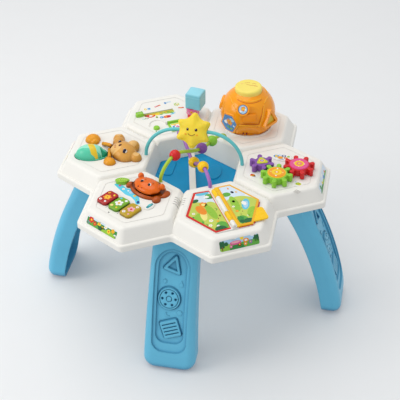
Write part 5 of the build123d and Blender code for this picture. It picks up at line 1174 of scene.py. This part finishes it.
def star_details():
    """Cushions over both faces of the star, and its smiling face."""
    low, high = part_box("star")
    middle = Vector([(a + b) / 2 for a, b in zip(low, high)])
    lean = radians(STAR_LEAN)
    out = Vector((0, -cos(lean), sin(lean)))
    place = Matrix.Translation(middle) @ facing(out, Vector((1, 0, 0))) @ SCALE
    tips = star_shape(STAR_TIP, STAR_NOTCH, 6)
    for _ in range(3):
        tips = blunted(tips)

    def level(share):
        return STAR_RIM + STAR_CROWN * (1 - share ** STAR_FULLNESS)

    def surface(x, y):
        """Height of the cushion over a point of the star."""
        turn = atan2(y, x)
        edge = min(tips, key=lambda p: abs(remainder(atan2(p[1], p[0]) - turn, 2 * pi)))
        return level(min(1.0, hypot(x, y) / hypot(*edge)))

    for name, spin in (("star_front", 0), ("star_back", pi)):
        cushion = Piece(name, "star_body", place @ Matrix.Rotation(spin, 4, "Y"))
        cushion.puff(tips, star_yellow, STAR_BACK, level)
        cushion.done()

    face = Piece("star_face", "star_body", place)
    dark = plastic("star_eye", (52, 16, 34), 0.2, coat=0.4)
    for x in (-10.4, 7.4):
        base = surface(x, 1.5)
        face.dome(x, 1.5, 3.2, 3.7, dark, base - 1.8, base + 1.6)
        # A small white dot on each eye: a painted highlight.
        face.dome(x - 0.8, 3.2, 0.8, 0.8, ink("white"), base, base + 1.9)
    smile = []
    for k in range(13):
        x = -9 + 15 * k / 12
        y = -7.4 - 3.6 * (1 - ((k - 6) / 6) ** 2)
        smile.append((x, y, surface(x, y) + 0.1))
    face.rope(smile, 0.62, plastic("star_mouth", (140, 84, 30), 0.3))
    cheek = plastic("star_cheek", (240, 168, 40), 0.4)
    for x in (-13.4, 10.4):
        base = surface(x, -8.4)
        face.dome(x, -8.4, 3.3, 2.7, cheek, base - 1, base + 0.35)
    face.done()


book_pictures()
book_spine()
key_prints()
keys_surround()
hippo()
leaf_cover()
switch_prints()
bear()
gear_prints()
wall_pictures()
ball_plate()
ball_seams()
cap_smile()
light_prints()
post_and_cube()
star_details()

LEG_EDGE = 0.004
KEY_EDGE = 0.0008
FIGURE_EDGE = 0.0006

soften(leg_blue, LEG_EDGE, (0, 104, 156), 0.03)
for material, shade in ((key_red, (90, 0, 0)), (key_green, (30, 70, 0)), (key_yellow, (96, 66, 0))):
    soften(material, KEY_EDGE, shade)
for material, shade in (
    (hippo_orange, (120, 30, 0)), (hippo_brown, (70, 20, 0)), (tan, (120, 62, 0)), (amber, (130, 70, 0)),
    (mint, (0, 130, 104)),
):
    soften(material, FIGURE_EDGE, shade)
soften(shell, 0.0012)
soften(tray, 0.0015)


# ---- camera, light and floor
AZIMUTH = 11.21
ELEVATION = 37.35
ROLL = -0.31
LENS = 92.5
EYE = (0.3638, -1.7698, 1.6193)
LAMP_COLOUR = (1.0, 0.98, 0.95)
LAMP_AIM = Vector((0, 0, 0.3))
GROUND_GLOW = 0.10
GROUND_HALF_WIDTH = 9


def place_camera():
    az, el = radians(AZIMUTH), radians(ELEVATION)
    back = Vector((sin(az) * cos(el), -cos(az) * cos(el), sin(el)))
    right = Vector((0, 0, 1)).cross(back).normalized()
    data = bpy.data.cameras.new("camera")
    data.lens = LENS
    data.sensor_width = 36
    eye = put_in("camera", data)
    eye.matrix_world = Matrix.Translation(EYE) @ facing(back, right) @ turn_z(ROLL)
    bpy.context.scene.camera = eye


def area_lamp(name, place, size, power):
    data = bpy.data.lights.new(name, "AREA")
    data.shape = "DISK"
    data.size = size
    data.energy = power
    data.color = LAMP_COLOUR
    lamp = put_in(name, data)
    lamp.location = place
    lamp.rotation_euler = (LAMP_AIM - Vector(place)).to_track_quat("-Z", "Y").to_euler()


def light_room():
    world = bpy.data.worlds.new("studio")
    world.use_nodes = True
    feed(world.node_tree.nodes["Background"], {"Color": (0.97, 0.985, 1.0, 1), "Strength": 0.68})
    bpy.context.scene.world = world
    area_lamp("top_lamp", (-0.6, 0.3, 2.6), 2.4, 21.5)
    area_lamp("left_lamp", (-2.2, -1.2, 1.6), 1.6, 20)


def pale_ground():
    """Matt grey sheet, a little paler to the eye than to the light that falls on it."""
    ground = plastic("floor_grey", (226, 227, 228), 0.85, 0.004, 0.0, 0.0)
    tree = ground.node_tree
    path = tree.nodes.new("ShaderNodeLightPath").outputs

    def combine(operation, first, second):
        node = feed(tree.nodes.new("ShaderNodeMath"), {0: first, 1: second})
        node.operation = operation
        return node.outputs["Value"]

    seen = combine("MAXIMUM", path["Is Camera Ray"], path["Is Glossy Ray"])
    seen = combine("MAXIMUM", seen, path["Is Transmission Ray"])
    glow = combine("MULTIPLY", seen, GROUND_GLOW)
    feed(tree.nodes["Principled BSDF"], {"Emission Color": (0.98, 0.99, 1.0, 1), "Emission Strength": glow})
    return ground


def lay_floor():
    piece = bmesh.new()
    bmesh.ops.create_grid(piece, x_segments=8, y_segments=8, size=GROUND_HALF_WIDTH)
    floor = put_in("floor", mesh_of("floor", piece))
    floor.data.materials.append(pale_ground())


place_camera()
light_room()
lay_floor()

bpy.context.scene.view_settings.view_transform = "Standard"
